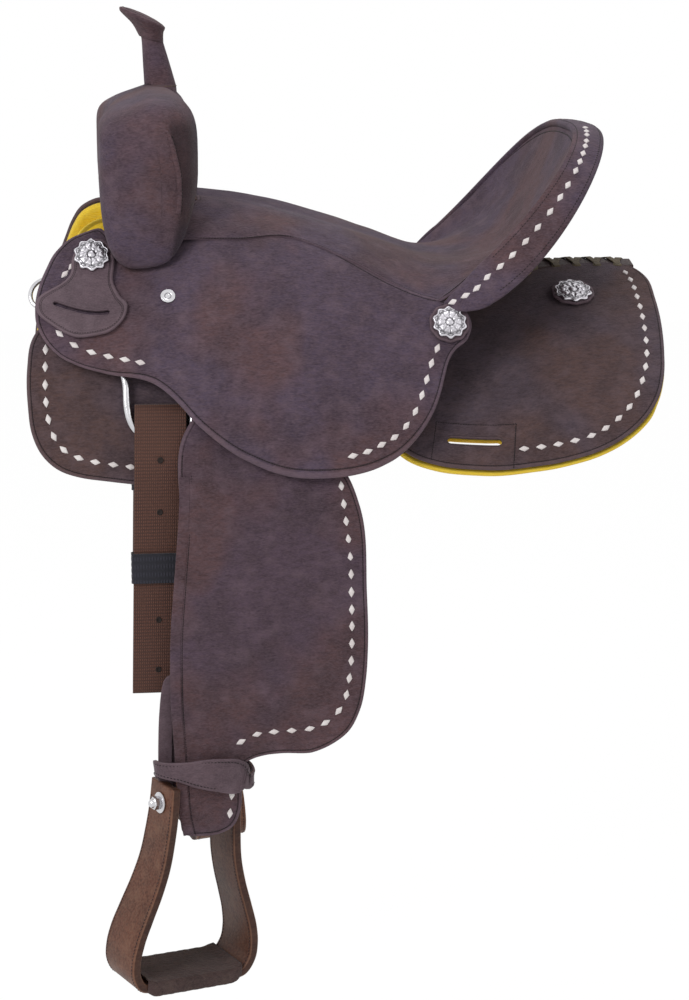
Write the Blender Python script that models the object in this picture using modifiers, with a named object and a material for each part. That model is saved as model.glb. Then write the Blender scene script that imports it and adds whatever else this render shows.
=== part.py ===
"""Barrel racing saddle, modelled in metres with +Z up.

The horse faces -X. The near side, which is the horse's left, is at -Y. The origin lies
on the saddle's middle plane, level with the ridge of the rear skirts.
Sizes are in millimetres and are turned into metres as each mesh is made.
Every shape is worked out for the near side, and the far side is its mirror image.
"""

from math import ceil, cos, pi, radians, sin

import bmesh
import bpy
import numpy as np
from mathutils import Vector

MM = 0.001
NEAR, FAR = -1, 1
SIDES = (("near", NEAR), ("far", FAR))
GAP = 0.4

# Leather and lining thicknesses
LINING = 8.0
SKIRT = 4.6
JOCKEY = 4.2
SEAT_LEATHER = 3.2
FENDER = 5.0
STRAP = 3.5
COVER = 3.0
SKIRT_LIFT = LINING + 1.6
SKIRT_TOP = SKIRT_LIFT + SKIRT

# The horse's back: place along X, ridge height, lean at the ridge in degrees and
# further lean in degrees for each millimetre down the side
BACK = (
    (-340, 118, 35, 0.130),
    (-250, 126, 34, 0.132),
    (-160, 94, 31, 0.136),
    (-60, 34, 27, 0.141),
    (40, -11, 20, 0.158),
    (120, -20, 14, 0.176),
    (215, -7, 10, 0.190),
    (310, -7, 9, 0.192),
)

# The seat's side, front to back: place along X, then the four control points
# (distance from the middle, height) of the curve that runs down from the middle
SEAT_SIDE = (
    (-160, ((0, 74), (105, 96), (178, 32), (236, -155))),
    (-66, ((0, 68), (115, 76), (192, 38), (240, -187))),
    (0, ((0, 53), (120, 58), (195, 20), (243, -190))),
    (70, ((0, 34), (124, 44), (194, 14), (225, -168))),
    (130, ((0, 34), (124, 44), (190, 14), (214, -140))),
)
FRONT_JOCKEY = ((-335, 112, 300, 23.5, 28), (-250, 112, 340, 24.5, 35.5))

# The seat's top, from the fork to the cantle: five points from the middle to the seam
SEAT_ROWS = (
    ((-157.5, 0, 79), (-157.5, 32, 83), (-157.5, 66, 82), (-158.5, 98, 71), (-166, 125, 48)),
    ((-113, 0, 73), (-113, 34, 77), (-113, 70, 75), (-113, 103, 64), (-113, 128, 47)),
    ((-68, 0, 63), (-68, 36, 66.5), (-68, 72, 66), (-68, 100, 58.5), (-68, 120, 47.2)),
    ((-9, 0, 46), (-9, 38, 49), (-9, 76, 48.5), (-9, 110, 39), (-9, 135.5, 24.5)),
    ((30, 0, 33), (30, 40, 36), (30, 80, 35), (30, 122, 22), (30, 152.5, 4.2)),
    ((98, 0, 13), (96, 42, 15), (88, 85, 16), (77, 128, 7), (66, 163, -9)),
    ((161, 0, 28), (158, 45, 28), (147, 90, 28), (126, 134, 16), (84, 167, -5)),
    ((201, 0, 78), (198, 45, 74), (189, 90, 66), (172, 130, 54), (146, 161, 47)),
)

# The cantle: the seat's seam and the roll's outer edge, each an oval arc in a
# slanted plane, from the middle (angle 0) to the side (angle 90); the powers
# shape the arc along X, across and in height
CANTLE_SEAM = dict(width=168, foot=(82, -6), top=(234, 150), powers=(0.50, 0.66, 0.62))
CANTLE_RIM = dict(width=188, foot=(97, -22), top=(260, 148), powers=(0.62, 0.58, 1.04))

# The fork's slices: how square they are, where they are widest, how steeply the brow
# falls ahead of the horn, and how far the wood stays inside its cover
FORK_EXPONENT = 3.4
FORK_WAIST = 58.0
FORK_BROW = 0.54
FORK_OVER_BAR = 22.2
FORK_OVER_SIDE = 2.4
FORK_CLEAR = 2.0
FORK_FOOT_CLEAR = 4.0
FORK_ANGLES = np.radians(np.arange(-66.0, 294.0, 24.0))
HORN_FRONT = -208.0
FORK_ENDS = 3
# The fork by distance from the middle: front, rear, top and the underside's height
# (None where it stands on the bars or over the jockey)
FORK = (
    (0, -243, -168, 193, 122),
    (30, -246, -165, 192.5, 117),
    (60, -250, -162, 191, 98),
    (77, -253, -160, 190, None),
    (86, -255, -159, 189, None),
    (108, -257, -158, 187.5, None),
    (128, -257, -162, 184, None),
    (141, -256, -167, 180, None),
    (149, -254, -175, 174, 25),
    (155, -249, -184, 164, 38),
    (159, -240, -195, 149, 58),
)

# Horn outside, neck to cap: middle (x, z), half lengths along and across, tilt
HORN = (
    (-190.5, 189, 16.8, 17.0, 0),
    (-194.5, 214, 14.0, 14.8, 3),
    (-198.0, 236, 11.6, 13.2, 10),
    (-199.5, 242, 11.8, 13.6, 16),
    (-203.0, 249, 17.0, 19.5, 22),
    (-208.2, 256.8, 23.6, 24.8, 24.5),
    (-208.6, 259.6, 25.2, 26.2, 24.5),
    (-208.0, 262.4, 24.4, 25.4, 24.5),
    (-207.2, 264.6, 15.0, 16.0, 24.5),
    (-206.9, 265.4, 4.0, 4.0, 24.5),
)
HORN_SEAM = 3
HORN_FOOT = 196.0

# Stirrup: half widths outside and their heights from the bolt, top to bottom
STIRRUP_HALF = (41, 41, 42.5, 46, 53, 62, 70, 73, 71.5, 62)
STIRRUP_DROP = (19, -12, -34, -62, -88, -113, -137, -155, -171, -184)
STIRRUP_BOTTOM = -191.0
STIRRUP_WOOD = 9.0
ROLLER = 7.0
BORE = 5.4

LEATHER_SUEDE = (0.082, 0.056, 0.066)
LEATHER_SMOOTH = (0.088, 0.040, 0.038)
LACE_BROWN = (0.060, 0.042, 0.026)
STIRRUP_BROWN = (0.115, 0.045, 0.025)
YELLOW = (0.95, 0.66, 0.012)
WEB_BROWN = (0.155, 0.058, 0.028)
WEB_NAVY = (0.030, 0.030, 0.045)
SILVER = (0.62, 0.61, 0.60)
STEEL = (0.72, 0.72, 0.73)
TREE_WOOD = (0.55, 0.40, 0.24)
FOAM = (0.35, 0.35, 0.33)


def smooth_table(stations, rows, at):
    """Values at places `at` on a smooth curve through the rows at the stations."""
    stations = np.asarray(stations, float)
    rows = np.asarray(rows, float)
    slope = np.gradient(rows, stations, axis=0)
    at = np.clip(np.atleast_1d(at), stations[0], stations[-1])
    k = np.clip(np.searchsorted(stations, at, side="right") - 1, 0, len(stations) - 2)
    shape = (len(at),) + (1,) * (rows.ndim - 1)
    step = (stations[k + 1] - stations[k]).reshape(shape)
    f = ((at - stations[k]) / (stations[k + 1] - stations[k])).reshape(shape)
    start = (2 * f**3 - 3 * f**2 + 1) * rows[k] + (f**3 - 2 * f**2 + f) * step * slope[k]
    end = (3 * f**2 - 2 * f**3) * rows[k + 1] + (f**3 - f**2) * step * slope[k + 1]
    return start + end


def spread(*values):
    """The values as flat arrays of one length."""
    arrays = np.broadcast_arrays(*[np.atleast_1d(np.asarray(v, float)) for v in values])
    return [a.ravel() for a in arrays]


def back_surface(x, s, lift=0.0):
    """Points a distance s down the horse's side from the ridge, raised by lift."""
    x, s, lift = spread(x, s, lift)
    table = np.array(BACK, float)
    ridge, lean, bend = smooth_table(table[:, 0], table[:, 1:], x).T
    first = np.radians(lean)
    bend = np.radians(bend)
    angle = first + bend * s
    y = (np.sin(angle) - np.sin(first)) / bend + lift * np.sin(angle)
    z = ridge - (np.cos(first) - np.cos(angle)) / bend + lift * np.cos(angle)
    return np.stack([x, -y, z], -1)


def front_controls(x, s_top, s_low, lift_top, lift_low):
    """The seat side's control points ahead of the fork, where it lies on the skirt."""
    top, low = back_surface(x, (s_top, s_low), (lift_top, lift_low))
    after = back_surface(x, s_top + 1, lift_top)[0] - top
    before = back_surface(x, s_low - 1, lift_low)[0] - low
    reach = 0.34 * np.linalg.norm(low - top)
    after *= reach / np.linalg.norm(after)
    before *= reach / np.linalg.norm(before)
    points = np.array([top, top + after, low + before, low])[:, 1:]
    return points * (-1, 1)


def seat_side_table():
    """Stations along X and the seat side's control points there."""
    front = [(row[0], front_controls(*row)) for row in FRONT_JOCKEY]
    rows = front + [(x, np.array(points, float)) for x, points in SEAT_SIDE]
    return np.array([r[0] for r in rows], float), np.array([r[1] for r in rows])


SIDE_STATIONS, SIDE_CONTROLS = seat_side_table()


def side_surface(x, t, lift=0.0):
    """Points on the seat's side, t from 0 in the middle to 1 at the foot."""
    x, t, lift = spread(x, t, lift)
    c = smooth_table(SIDE_STATIONS, SIDE_CONTROLS, x)
    f = t[:, None]
    point = (1 - f) ** 3 * c[:, 0] + 3 * f * (1 - f) ** 2 * c[:, 1]
    point = point + 3 * f**2 * (1 - f) * c[:, 2] + f**3 * c[:, 3]
    along = (1 - f) ** 2 * (c[:, 1] - c[:, 0]) + 2 * f * (1 - f) * (c[:, 2] - c[:, 1])
    along = along + f**2 * (c[:, 3] - c[:, 2])
    along /= np.linalg.norm(along, axis=1)[:, None]
    outward = np.stack([-along[:, 1], along[:, 0]], -1)
    point = point + outward * lift[:, None]
    return np.stack([x, -point[:, 0], point[:, 1]], -1)


def height_over(surface, x, y, reach, lift):
    """The surface's height at plan points (x, y), y counted outwards."""
    x, y = spread(x, y)
    out = np.empty(len(x))
    steps = np.linspace(0, reach, 120)
    for k in range(len(x)):
        line = surface(np.full(120, x[k]), steps, lift)
        out[k] = np.interp(y[k], -line[:, 1], line[:, 2])
    return out


def cantle_line(angle, width, foot, top, powers):
    """Points on a cantle oval; the angle is negative on the far side."""
    angle = np.asarray(angle, float)
    c, s = np.abs(np.cos(angle)), np.sin(angle)
    x = foot[0] + (top[0] - foot[0]) * c ** powers[0]
    y = -width * np.sign(s) * np.abs(s) ** powers[1]
    z = foot[1] + (top[1] - foot[1]) * c ** powers[2]
    return np.stack([x, y, z], -1)


SEAT_END = (0, 9, 26, 45, 66)


def seat_net():
    """Control points over the whole seat, near seam to far seam, fork to cantle."""
    last = [cantle_line(radians(a), **CANTLE_SEAM) for a in SEAT_END]
    rows = [np.array(row, float) * (1, -1, 1) for row in SEAT_ROWS] + [np.array(last)]
    net = [np.concatenate([row[:0:-1], row * (1, -1, 1)]) for row in rows]
    return np.array(net)


SEAT_NET = seat_net()


def seat_top(u, v, lift=0.0):
    """Points on the seat: u from 0 at the fork to 1 at the cantle, v from -1 to 1."""
    u, v, lift = spread(u, v, lift)

    def at(uu, vv):
        rows = smooth_table(np.linspace(0, 1, len(SEAT_NET)), SEAT_NET, uu)
        knots = np.linspace(-1, 1, SEAT_NET.shape[1])
        slope = np.gradient(rows, knots, axis=1)
        vv = np.clip(vv, -1, 1)
        k = np.clip(((vv + 1) / 2 * (len(knots) - 1)).astype(int), 0, len(knots) - 2)
        n = np.arange(len(vv))
        f = ((vv - knots[k]) / (knots[1] - knots[0]))[:, None]
        h = knots[1] - knots[0]
        start = (2 * f**3 - 3 * f**2 + 1) * rows[n, k] + (f**3 - 2 * f**2 + f) * h * slope[n, k]
        end = (3 * f**2 - 2 * f**3) * rows[n, k + 1] + (f**3 - f**2) * h * slope[n, k + 1]
        point = start + end
        end_angle = np.radians(np.interp(np.abs(vv), np.linspace(0, 1, 5), SEAT_END))
        seam = cantle_line(end_angle * np.sign(-vv), **CANTLE_SEAM)
        rise = np.clip(uu * 8 - 7, 0, 1)[:, None] ** 2
        return point + rise * (seam - at_end(vv))

    def at_end(vv):
        knots = np.linspace(-1, 1, SEAT_NET.shape[1])
        return smooth_table(knots, SEAT_NET[-1], vv)

    e = 0.002
    ahead = at(np.minimum(u + e, 1), v) - at(np.maximum(u - e, 0), v)
    aside = at(u, np.minimum(v + e, 1)) - at(u, np.maximum(v - e, -1))
    normal = np.cross(ahead, aside)
    normal /= np.linalg.norm(normal, axis=1)[:, None]
    return at(u, v) + normal * lift[:, None]


def material(name, colour, roughness, metallic=0.0):
    made = bpy.data.materials.get(name) or bpy.data.materials.new(name)
    made.use_nodes = True
    shader = made.node_tree.nodes["Principled BSDF"]
    shader.inputs["Base Color"].default_value = (*colour, 1.0)
    shader.inputs["Roughness"].default_value = roughness
    shader.inputs["Metallic"].default_value = metallic
    return made


def suede():
    return material("roughout_suede", LEATHER_SUEDE, 0.92)


def fibreglass():
    return material("fibreglass_over_wood", TREE_WOOD, 0.5)


def smooth_leather():
    return material("smooth_leather", LEATHER_SMOOTH, 0.55)


def steel():
    return material("polished_steel", STEEL, 0.22, 1.0)


def collection(name):
    made = bpy.data.collections.get(name)
    if made is None:
        made = bpy.data.collections.new(name)
        bpy.context.scene.collection.children.link(made)
    return made


def clear_scene():
    for obj in list(bpy.data.objects):
        bpy.data.objects.remove(obj, do_unlink=True)
    for mesh in list(bpy.data.meshes):
        bpy.data.meshes.remove(mesh)


def signed_volume(points, faces):
    total = 0.0
    for face in faces:
        for k in range(1, len(face) - 1):
            a, b, c = points[face[0]], points[face[k]], points[face[k + 1]]
            total += np.dot(a, np.cross(b, c))
    return total


def add_object(name, points, faces, look, side=NEAR, pivot=(0, 0, 0), facing=None):
    """A named object from near-side points; its origin is the pivot.

    A closed mesh is turned so that its volume is positive. An open one is turned so
    that its first face looks along `facing`.
    """
    flip = np.array((1, 1 if side == NEAR else -1, 1), float)
    points = np.asarray(points, float) * flip
    pivot = np.asarray(pivot, float) * flip
    faces = [list(map(int, face)) for face in faces]
    if facing is None:
        wrong = signed_volume(points, faces) < 0
    else:
        want = np.asarray(facing, float) * flip
        total = sum(
            np.cross(points[f[1]] - points[f[0]], points[f[2]] - points[f[0]]) for f in faces
        )
        wrong = np.dot(total, want) < 0
    if wrong:
        faces = [face[::-1] for face in faces]
    mesh = bpy.data.meshes.new(name)
    mesh.from_pydata(((points - pivot) * MM).tolist(), [], faces)
    mesh.validate()
    mesh.shade_smooth()
    mesh.set_sharp_from_angle(angle=radians(40))
    mesh.materials.append(look)
    obj = bpy.data.objects.new(name, mesh)
    obj.location = pivot * MM
    collection("barrel_racing_saddle").objects.link(obj)
    return obj


def thicken(obj, thickness, offset=1.0):
    solid = obj.modifiers.new("thickness", "SOLIDIFY")
    solid.thickness = thickness * MM
    solid.offset = offset
    return obj


def cut(obj, cutter):
    """Cuts the cutter out of the object and keeps the cutter as a guide."""
    cutter.hide_render = True
    cutter.display_type = "WIRE"
    for home in list(cutter.users_collection):
        home.objects.unlink(cutter)
    collection("cutters").objects.link(cutter)
    away = obj.modifiers.new("cut", "BOOLEAN")
    away.object = cutter
    away.operation = "DIFFERENCE"
    away.solver = "EXACT"


def grown(outline, amount):
    """The outline moved outwards by amount(u, v) at each point."""
    points = np.asarray(outline, float)
    along = np.roll(points, -1, 0) - np.roll(points, 1, 0)
    along /= np.linalg.norm(along, axis=1)[:, None]
    after = np.roll(points, -1, 0)
    area = np.sum(points[:, 0] * after[:, 1] - after[:, 0] * points[:, 1])
    outward = np.stack([along[:, 1], -along[:, 0]], -1) * np.sign(area)
    return points + outward * np.array([amount(u, v) for u, v in points])[:, None]


def stadium(middle, length, width, turn=0.0):
    """A slot's outline with round ends."""
    out = []
    for end in (1, -1):
        for k in range(7):
            angle = -pi / 2 + pi * k / 6 + (0 if end > 0 else pi)
            u = end * (length - width) / 2 + width / 2 * cos(angle)
            v = width / 2 * sin(angle)
            out.append((middle[0] + u * cos(turn) - v * sin(turn),
                        middle[1] + u * sin(turn) + v * cos(turn)))
    return np.array(out)


def cut_sheet(outline, step_u, step_v):
    """A flat outline cut along a grid: its points and faces."""
    sheet = bmesh.new()
    sheet.faces.new([sheet.verts.new((u, v, 0.0)) for u, v in outline])
    outline = np.asarray(outline, float)
    for axis, step in ((0, step_u), (1, step_v)):
        low, high = outline[:, axis].min(), outline[:, axis].max()
        count = ceil((high - low) / step)
        for k in range(1, count):
            middle = [0.0, 0.0, 0.0]
            middle[axis] = low + k * (high - low) / count
            normal = [0.0, 0.0, 0.0]
            normal[axis] = 1.0
            whole = sheet.verts[:] + sheet.edges[:] + sheet.faces[:]
            bmesh.ops.bisect_plane(sheet, geom=whole, dist=0.6, plane_co=middle, plane_no=normal)
    sheet.verts.index_update()
    points = np.array([v.co[:2] for v in sheet.verts])
    faces = [[v.index for v in face.verts] for face in sheet.faces]
    sheet.free()
    return points, faces


def leather(name, outline, steps, place, thickness, look, side, pivot=(0, 0, 0)):
    """A panel cut to the outline, bent over a surface and thickened outwards."""
    flat, faces = cut_sheet(outline, *steps)
    points = place(flat[:, 0], flat[:, 1])
    obj = add_object(name, points, faces, look, side, pivot, facing=(0, -1, 1))
    return thicken(obj, thickness)


def slab(name, outline, steps, low, high, look, side, pivot=(0, 0, 0)):
    """A body between two surfaces, with the outline as its edge."""
    flat, faces = cut_sheet(outline, *steps)
    points = np.concatenate([low(flat[:, 0], flat[:, 1]), high(flat[:, 0], flat[:, 1])])
    n = len(flat)
    used = {}
    for face in faces:
        for a, b in zip(face, face[1:] + face[:1]):
            used[(a, b)] = used.get((a, b), 0) + 1
    rim = [edge for edge in used if (edge[1], edge[0]) not in used]
    walls = [[b, a, a + n, b + n] for a, b in rim]
    body = [[i + n for i in face][::-1] for face in faces] + faces + walls
    body = [face[::-1] for face in body]
    return add_object(name, points, body, look, side, pivot)


def loft(name, loops, look, side=NEAR, pivot=(0, 0, 0), closed=False):
    """A skin over closed loops of the same number of points, with flat ends."""
    loops = np.asarray(loops, float)
    rows, n = loops.shape[:2]
    faces = []
    for r in range(rows if closed else rows - 1):
        a, b = r * n, (r + 1) % rows * n
        for k in range(n):
            m = (k + 1) % n
            faces.append([a + k, a + m, b + m, b + k])
    if not closed:
        faces.append(list(range(n))[::-1])
        faces.append([(rows - 1) * n + k for k in range(n)])
    return add_object(name, loops.reshape(-1, 3), faces, look, side, pivot)


def sleeve(name, outer, inner, look, side=NEAR, pivot=(0, 0, 0), shut=False):
    """A wall between outer and inner loops, open at both ends or shut at the last."""
    outer, inner = np.asarray(outer, float), np.asarray(inner, float)
    rows, n = outer.shape[:2]
    points = np.concatenate([outer.reshape(-1, 3), inner.reshape(-1, 3)])
    shift = rows * n
    faces = []
    for r in range(rows - 1):
        for k in range(n):
            m = (k + 1) % n
            a, b, c, d = r * n + k, r * n + m, (r + 1) * n + m, (r + 1) * n + k
            faces.append([a, b, c, d])
            faces.append([d + shift, c + shift, b + shift, a + shift])
    last = (rows - 1) * n
    for k in range(n):
        m = (k + 1) % n
        faces.append([m, k, k + shift, m + shift])
        if not shut:
            faces.append([last + k, last + m, last + m + shift, last + k + shift])
    if shut:
        faces.append([last + k for k in range(n)])
        faces.append([last + k + shift for k in range(n)][::-1])
    return add_object(name, points, faces, look, side, pivot)


def turned(name, profile, segments, middle, axis, look, side=NEAR, parent=None):
    """A profile of (radius, height) pairs, top to bottom, turned about its own axis."""
    mesh = bpy.data.meshes.new(name)
    points = [(r * MM, 0.0, h * MM) for r, h in profile]
    mesh.from_pydata(points, [(k, k + 1) for k in range(len(points) - 1)], [])
    mesh.materials.append(look)
    obj = bpy.data.objects.new(name, mesh)
    collection("barrel_racing_saddle").objects.link(obj)
    flip = np.array((1, 1 if side == NEAR else -1, 1), float)
    place = np.asarray(middle, float) * flip
    direction = np.asarray(axis, float) * flip
    obj.rotation_mode = "QUATERNION"
    obj.rotation_quaternion = Vector(direction).to_track_quat("Z", "Y")
    obj.location = place * MM
    if parent:
        obj.parent = parent
        obj.location = Vector(place * MM) - parent.location
    screw = obj.modifiers.new("turn", "SCREW")
    screw.steps = segments
    screw.render_steps = segments
    screw.use_merge_vertices = True
    screw.merge_threshold = 0.00001
    return obj


def wire(name, points, radius, look, side=NEAR, closed=False, pivot=(0, 0, 0)):
    """A round wire or cord through the points."""
    flip = np.array((1, 1 if side == NEAR else -1, 1), float)
    pivot = np.asarray(pivot, float) * flip
    points = (np.asarray(points, float) * flip - pivot) * MM
    curve = bpy.data.curves.new(name, "CURVE")
    curve.dimensions = "3D"
    curve.bevel_depth = radius * MM
    curve.bevel_resolution = 2
    curve.use_fill_caps = True
    line = curve.splines.new("POLY")
    line.points.add(len(points) - 1)
    line.points.foreach_set("co", np.c_[points, np.ones(len(points))].ravel())
    line.use_cyclic_u = closed
    curve.materials.append(look)
    obj = bpy.data.objects.new(name, curve)
    obj.location = pivot * MM
    collection("barrel_racing_saddle").objects.link(obj)
    return obj


# Skirts and their lining

SKIRT_OUTLINE = (
    (305, 24), (313, 46), (314, 92), (312.5, 132), (309, 167), (304, 197), (295, 222),
    (285, 237), (268, 254), (248, 267), (224, 276), (193, 279), (158, 275), (108, 267),
    (71, 259), (44, 249), (26, 236), (8, 222), (-22, 213), (-70, 212), (-112, 226),
    (-138, 256), (-152, 300), (-170, 345), (-195, 366), (-230, 373), (-254, 373),
    (-282, 367.5), (-302, 357.5), (-319, 339), (-328, 317), (-331, 292), (-331, 254),
    (-326, 227), (-315, 202), (-304, 178), (-294, 153), (-286, 130), (-276, 112),
    (-264, 103), (-225, 95), (-160, 84), (-80, 62), (0, 40), (80, 26), (180, 24),
)
SKIRT_STEPS = (62, 46)
LINING_EDGE = 1.2
LINING_SHOWN = 3.4
REAR_SLOT = (109, 239)
REAR_SLOT_TURN = 0.18


def rear_slot(name, side):
    outline = stadium(REAR_SLOT, 56, 6.5, REAR_SLOT_TURN)
    return slab(
        name, outline, (80, 80),
        lambda u, v: back_surface(u, v, -6.0),
        lambda u, v: back_surface(u, v, SKIRT_TOP + 6.0),
        suede(), side,
    )


def build_skirts():
    lining_look = material("yellow_felt", YELLOW, 0.95)

    def lining_reach(u, v):
        return LINING_SHOWN if 30 < u < 290 and v > 200 else LINING_EDGE

    for word, side in SIDES:
        lining = leather(
            f"skirt_lining_{word}", grown(SKIRT_OUTLINE, lining_reach), SKIRT_STEPS,
            lambda u, v: back_surface(u, v, 0.0), LINING, lining_look, side,
        )
        skirt = leather(
            f"skirt_{word}", SKIRT_OUTLINE, SKIRT_STEPS,
            lambda u, v: back_surface(u, v, SKIRT_LIFT), SKIRT, suede(), side,
        )
        cut(lining, rear_slot(f"slot_lining_{word}", side))
        cut(skirt, rear_slot(f"slot_skirt_{word}", side))


LACE_HALF = 22.0
LACE_FRONT, LACE_REAR = 198.0, 306.0
RIDGE_LEAN = radians(9)


def build_skirt_lace():
    """The laced strip that joins the two skirts along the ridge behind the cantle."""
    loops = []
    for x in np.linspace(LACE_FRONT, LACE_REAR, 8):
        y = np.linspace(-LACE_HALF, LACE_HALF, 5)
        s = np.abs(y) / cos(RIDGE_LEAN)
        top = back_surface(np.full(5, x), s, SKIRT_LIFT + 3.4) * (1, 0, 1)
        low = back_surface(np.full(5, x), s, SKIRT_LIFT + 0.2) * (1, 0, 1)
        top[:, 1] = y
        low[:, 1] = y
        loops.append(np.concatenate([top, low[::-1]]))
    loft("skirt_lace", loops, material("lace_leather", LACE_BROWN, 0.7))


# Tree: bars, fork, cantle and ground seat

BAR_OUTLINE = (
    (186, 27), (193, 35), (180, 46), (158, 58), (122, 68), (90, 92), (40, 132), (-20, 148),
    (-100, 152), (-180, 156), (-224, 150), (-240, 124), (-226, 92), (-160, 74),
    (-60, 54), (60, 36), (150, 28),
)
BAR_LOW = SKIRT_TOP + 2.5


def bar_top(x):
    """How far the bars' top lies above the horse's back."""
    return smooth_table((-250, -170, -120, 60, 220), (20.6, 20.6, 26, 29, 27), x)


def build_bars():
    for word, side in SIDES:
        slab(
            f"tree_bar_{word}", BAR_OUTLINE, (62, 46),
            lambda u, v: back_surface(u, v, BAR_LOW),
            lambda u, v: back_surface(u, v, bar_top(u)),
            fibreglass(), side,
        )


def power(value, exponent):
    return np.sign(value) * np.abs(value) ** exponent


def fork_section(y, front, rear, top, under, inset):
    """One slice of the fork at a distance y from the middle, shrunk by the inset."""
    front, rear, top = front + inset, rear - inset, top - inset
    middle, half = (front + rear) / 2, (rear - front) / 2
    x = middle + half * power(np.cos(FORK_ANGLES), 2 / FORK_EXPONENT)
    waist = top - FORK_WAIST
    if under is None:
        out = np.full(len(x), abs(y))
        low = height_over(back_surface, x, out, 240, FORK_OVER_BAR)
        if abs(y) > 100:
            low = np.maximum(low, height_over(side_surface, x, out, 1.0, FORK_OVER_SIDE))
    else:
        low = np.full(len(x), float(under)) + inset
    lift = power(np.sin(FORK_ANGLES), 2 / FORK_EXPONENT)
    peak = top - FORK_BROW * np.clip(HORN_FRONT - x, 0, None)
    z = np.where(lift > 0, waist + (peak - waist) * lift, waist + (waist - low) * lift)
    return np.stack([x, np.full(len(x), float(y)), z], -1)


def fork_rows(inset):
    """The fork's slices from the near end to the far end."""
    squeeze = 1 - inset / FORK[-1][0]
    rows = [fork_section(-y * squeeze, *row, inset) for y, *row in FORK[::-1]]
    rows += [fork_section(y * squeeze, *row, inset) for y, *row in FORK[1:]]
    return np.array(rows)


def build_fork():
    rows = fork_rows(COVER)
    inward = rows.mean(axis=1, keepdims=True) - rows
    inward[:, :, 1] = 0
    rows += FORK_CLEAR * inward / np.linalg.norm(inward, axis=2, keepdims=True)
    rows[:, np.sin(FORK_ANGLES) < -0.8, 2] += FORK_FOOT_CLEAR
    rows[0, :, 1] += FORK_CLEAR
    rows[-1, :, 1] -= FORK_CLEAR
    loft("tree_fork", rows, fibreglass())


def build_fork_cover():
    """The leather over the fork: whole round the swells' ends, open over the bars."""
    outer, inner = fork_rows(0.0), fork_rows(COVER)
    rows, n = outer.shape[:2]
    shift = rows * n

    def covered(r, k):
        over_bars = FORK_ENDS <= r < rows - 1 - FORK_ENDS
        return 0 <= r < rows - 1 and not (over_bars and k % n >= n - 2)

    faces = []
    for r in range(rows - 1):
        for k in range(n):
            if not covered(r, k):
                continue
            m = (k + 1) % n
            a, b, c, d = r * n + k, r * n + m, (r + 1) * n + m, (r + 1) * n + k
            faces.append([a, b, c, d])
            faces.append([d + shift, c + shift, b + shift, a + shift])
            edges = ((a, b, r - 1, k), (b, c, r, k + 1), (c, d, r + 1, k), (d, a, r, k - 1))
            for p, q, row, column in edges:
                if 0 <= row < rows - 1 and not covered(row, column):
                    faces.append([q, p, p + shift, q + shift])
    near_end, far_end = list(range(n)), list(range(shift - n, shift))
    faces += [near_end[::-1], far_end]
    faces += [[k + shift for k in near_end], [k + shift for k in far_end][::-1]]
    points = np.concatenate([outer.reshape(-1, 3), inner.reshape(-1, 3)])
    used = sorted({k for face in faces for k in face})
    place = {k: i for i, k in enumerate(used)}
    add_object("fork_cover", points[used], [[place[k] for k in face] for face in faces], suede())


def horn_loop(row, inset, count=16):
    x, z, along, across, tilt = row
    tilt = radians(tilt)
    angle = np.arange(count) * 2 * pi / count
    a = (along - inset) * np.cos(angle)
    b = (across - inset) * np.sin(angle)
    return np.stack([x + a * cos(tilt), b, z - a * sin(tilt)], -1)


def fork_top(x, y, lift):
    """The height of the fork's leather at plan points, raised by lift."""
    table = np.array([row[:4] for row in FORK], float)
    front, rear, top = (np.interp(np.abs(y), table[:, 0], table[:, k]) for k in (1, 2, 3))
    across = np.clip(np.abs((x - (front + rear) / 2) / ((rear - front) / 2)), 0, 1)
    peak = top - FORK_BROW * np.clip(HORN_FRONT - x, 0, None)
    waist = top - FORK_WAIST
    rise = (1 - across**FORK_EXPONENT) ** (1 / FORK_EXPONENT)
    return waist + (peak - waist) * rise + lift


def on_fork(loop, lift):
    """The loop dropped on to the top of the fork."""
    loop = loop.copy()
    loop[:, 2] = fork_top(loop[:, 0], loop[:, 1], lift)
    return loop


def build_horn():
    wall = 2.4
    neck = HORN[: HORN_SEAM + 1]
    outer = [horn_loop(row, 0.0) for row in neck]
    inner = [horn_loop(row, wall) for row in neck]
    outer[0], inner[0] = on_fork(outer[0], 1.2), on_fork(inner[0], 1.2)
    sleeve("horn_wrap", outer, inner, suede())
    cap = [list(row) for row in HORN[HORN_SEAM:]]
    cap[0][1] += 0.9
    inside = [list(row) for row in cap]
    for row, drop in zip(inside, (0.0, -1.4, -0.6, 0.9, wall, wall, wall)):
        row[1] -= drop
    sleeve(
        "horn_cap_cover", [horn_loop(row, 0.0) for row in cap],
        [horn_loop(row, min(wall, row[2] * 0.35)) for row in inside], suede(), shut=True,
    )
    core = [horn_loop(row, wall + 0.8) for row in neck]
    core[0] = horn_loop(HORN[0], wall + 3.4)
    core[0][:, 2] = HORN_FOOT
    head, rim = HORN[5], HORN[7]
    core.append(horn_loop((HORN[4][0], HORN[4][1] + 1.0, *HORN[4][2:]), 5.0))
    core.append(horn_loop((head[0], head[1] + 1.4, 17.0, 18.0, head[4]), 0.0))
    core.append(horn_loop((rim[0], rim[1] - 3.6, 17.0, 18.0, rim[4]), 0.0))
    loft("horn_core", core, steel())


SEAT_CELLS = (16, 14)
SEAT_SCALE = 400.0


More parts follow.
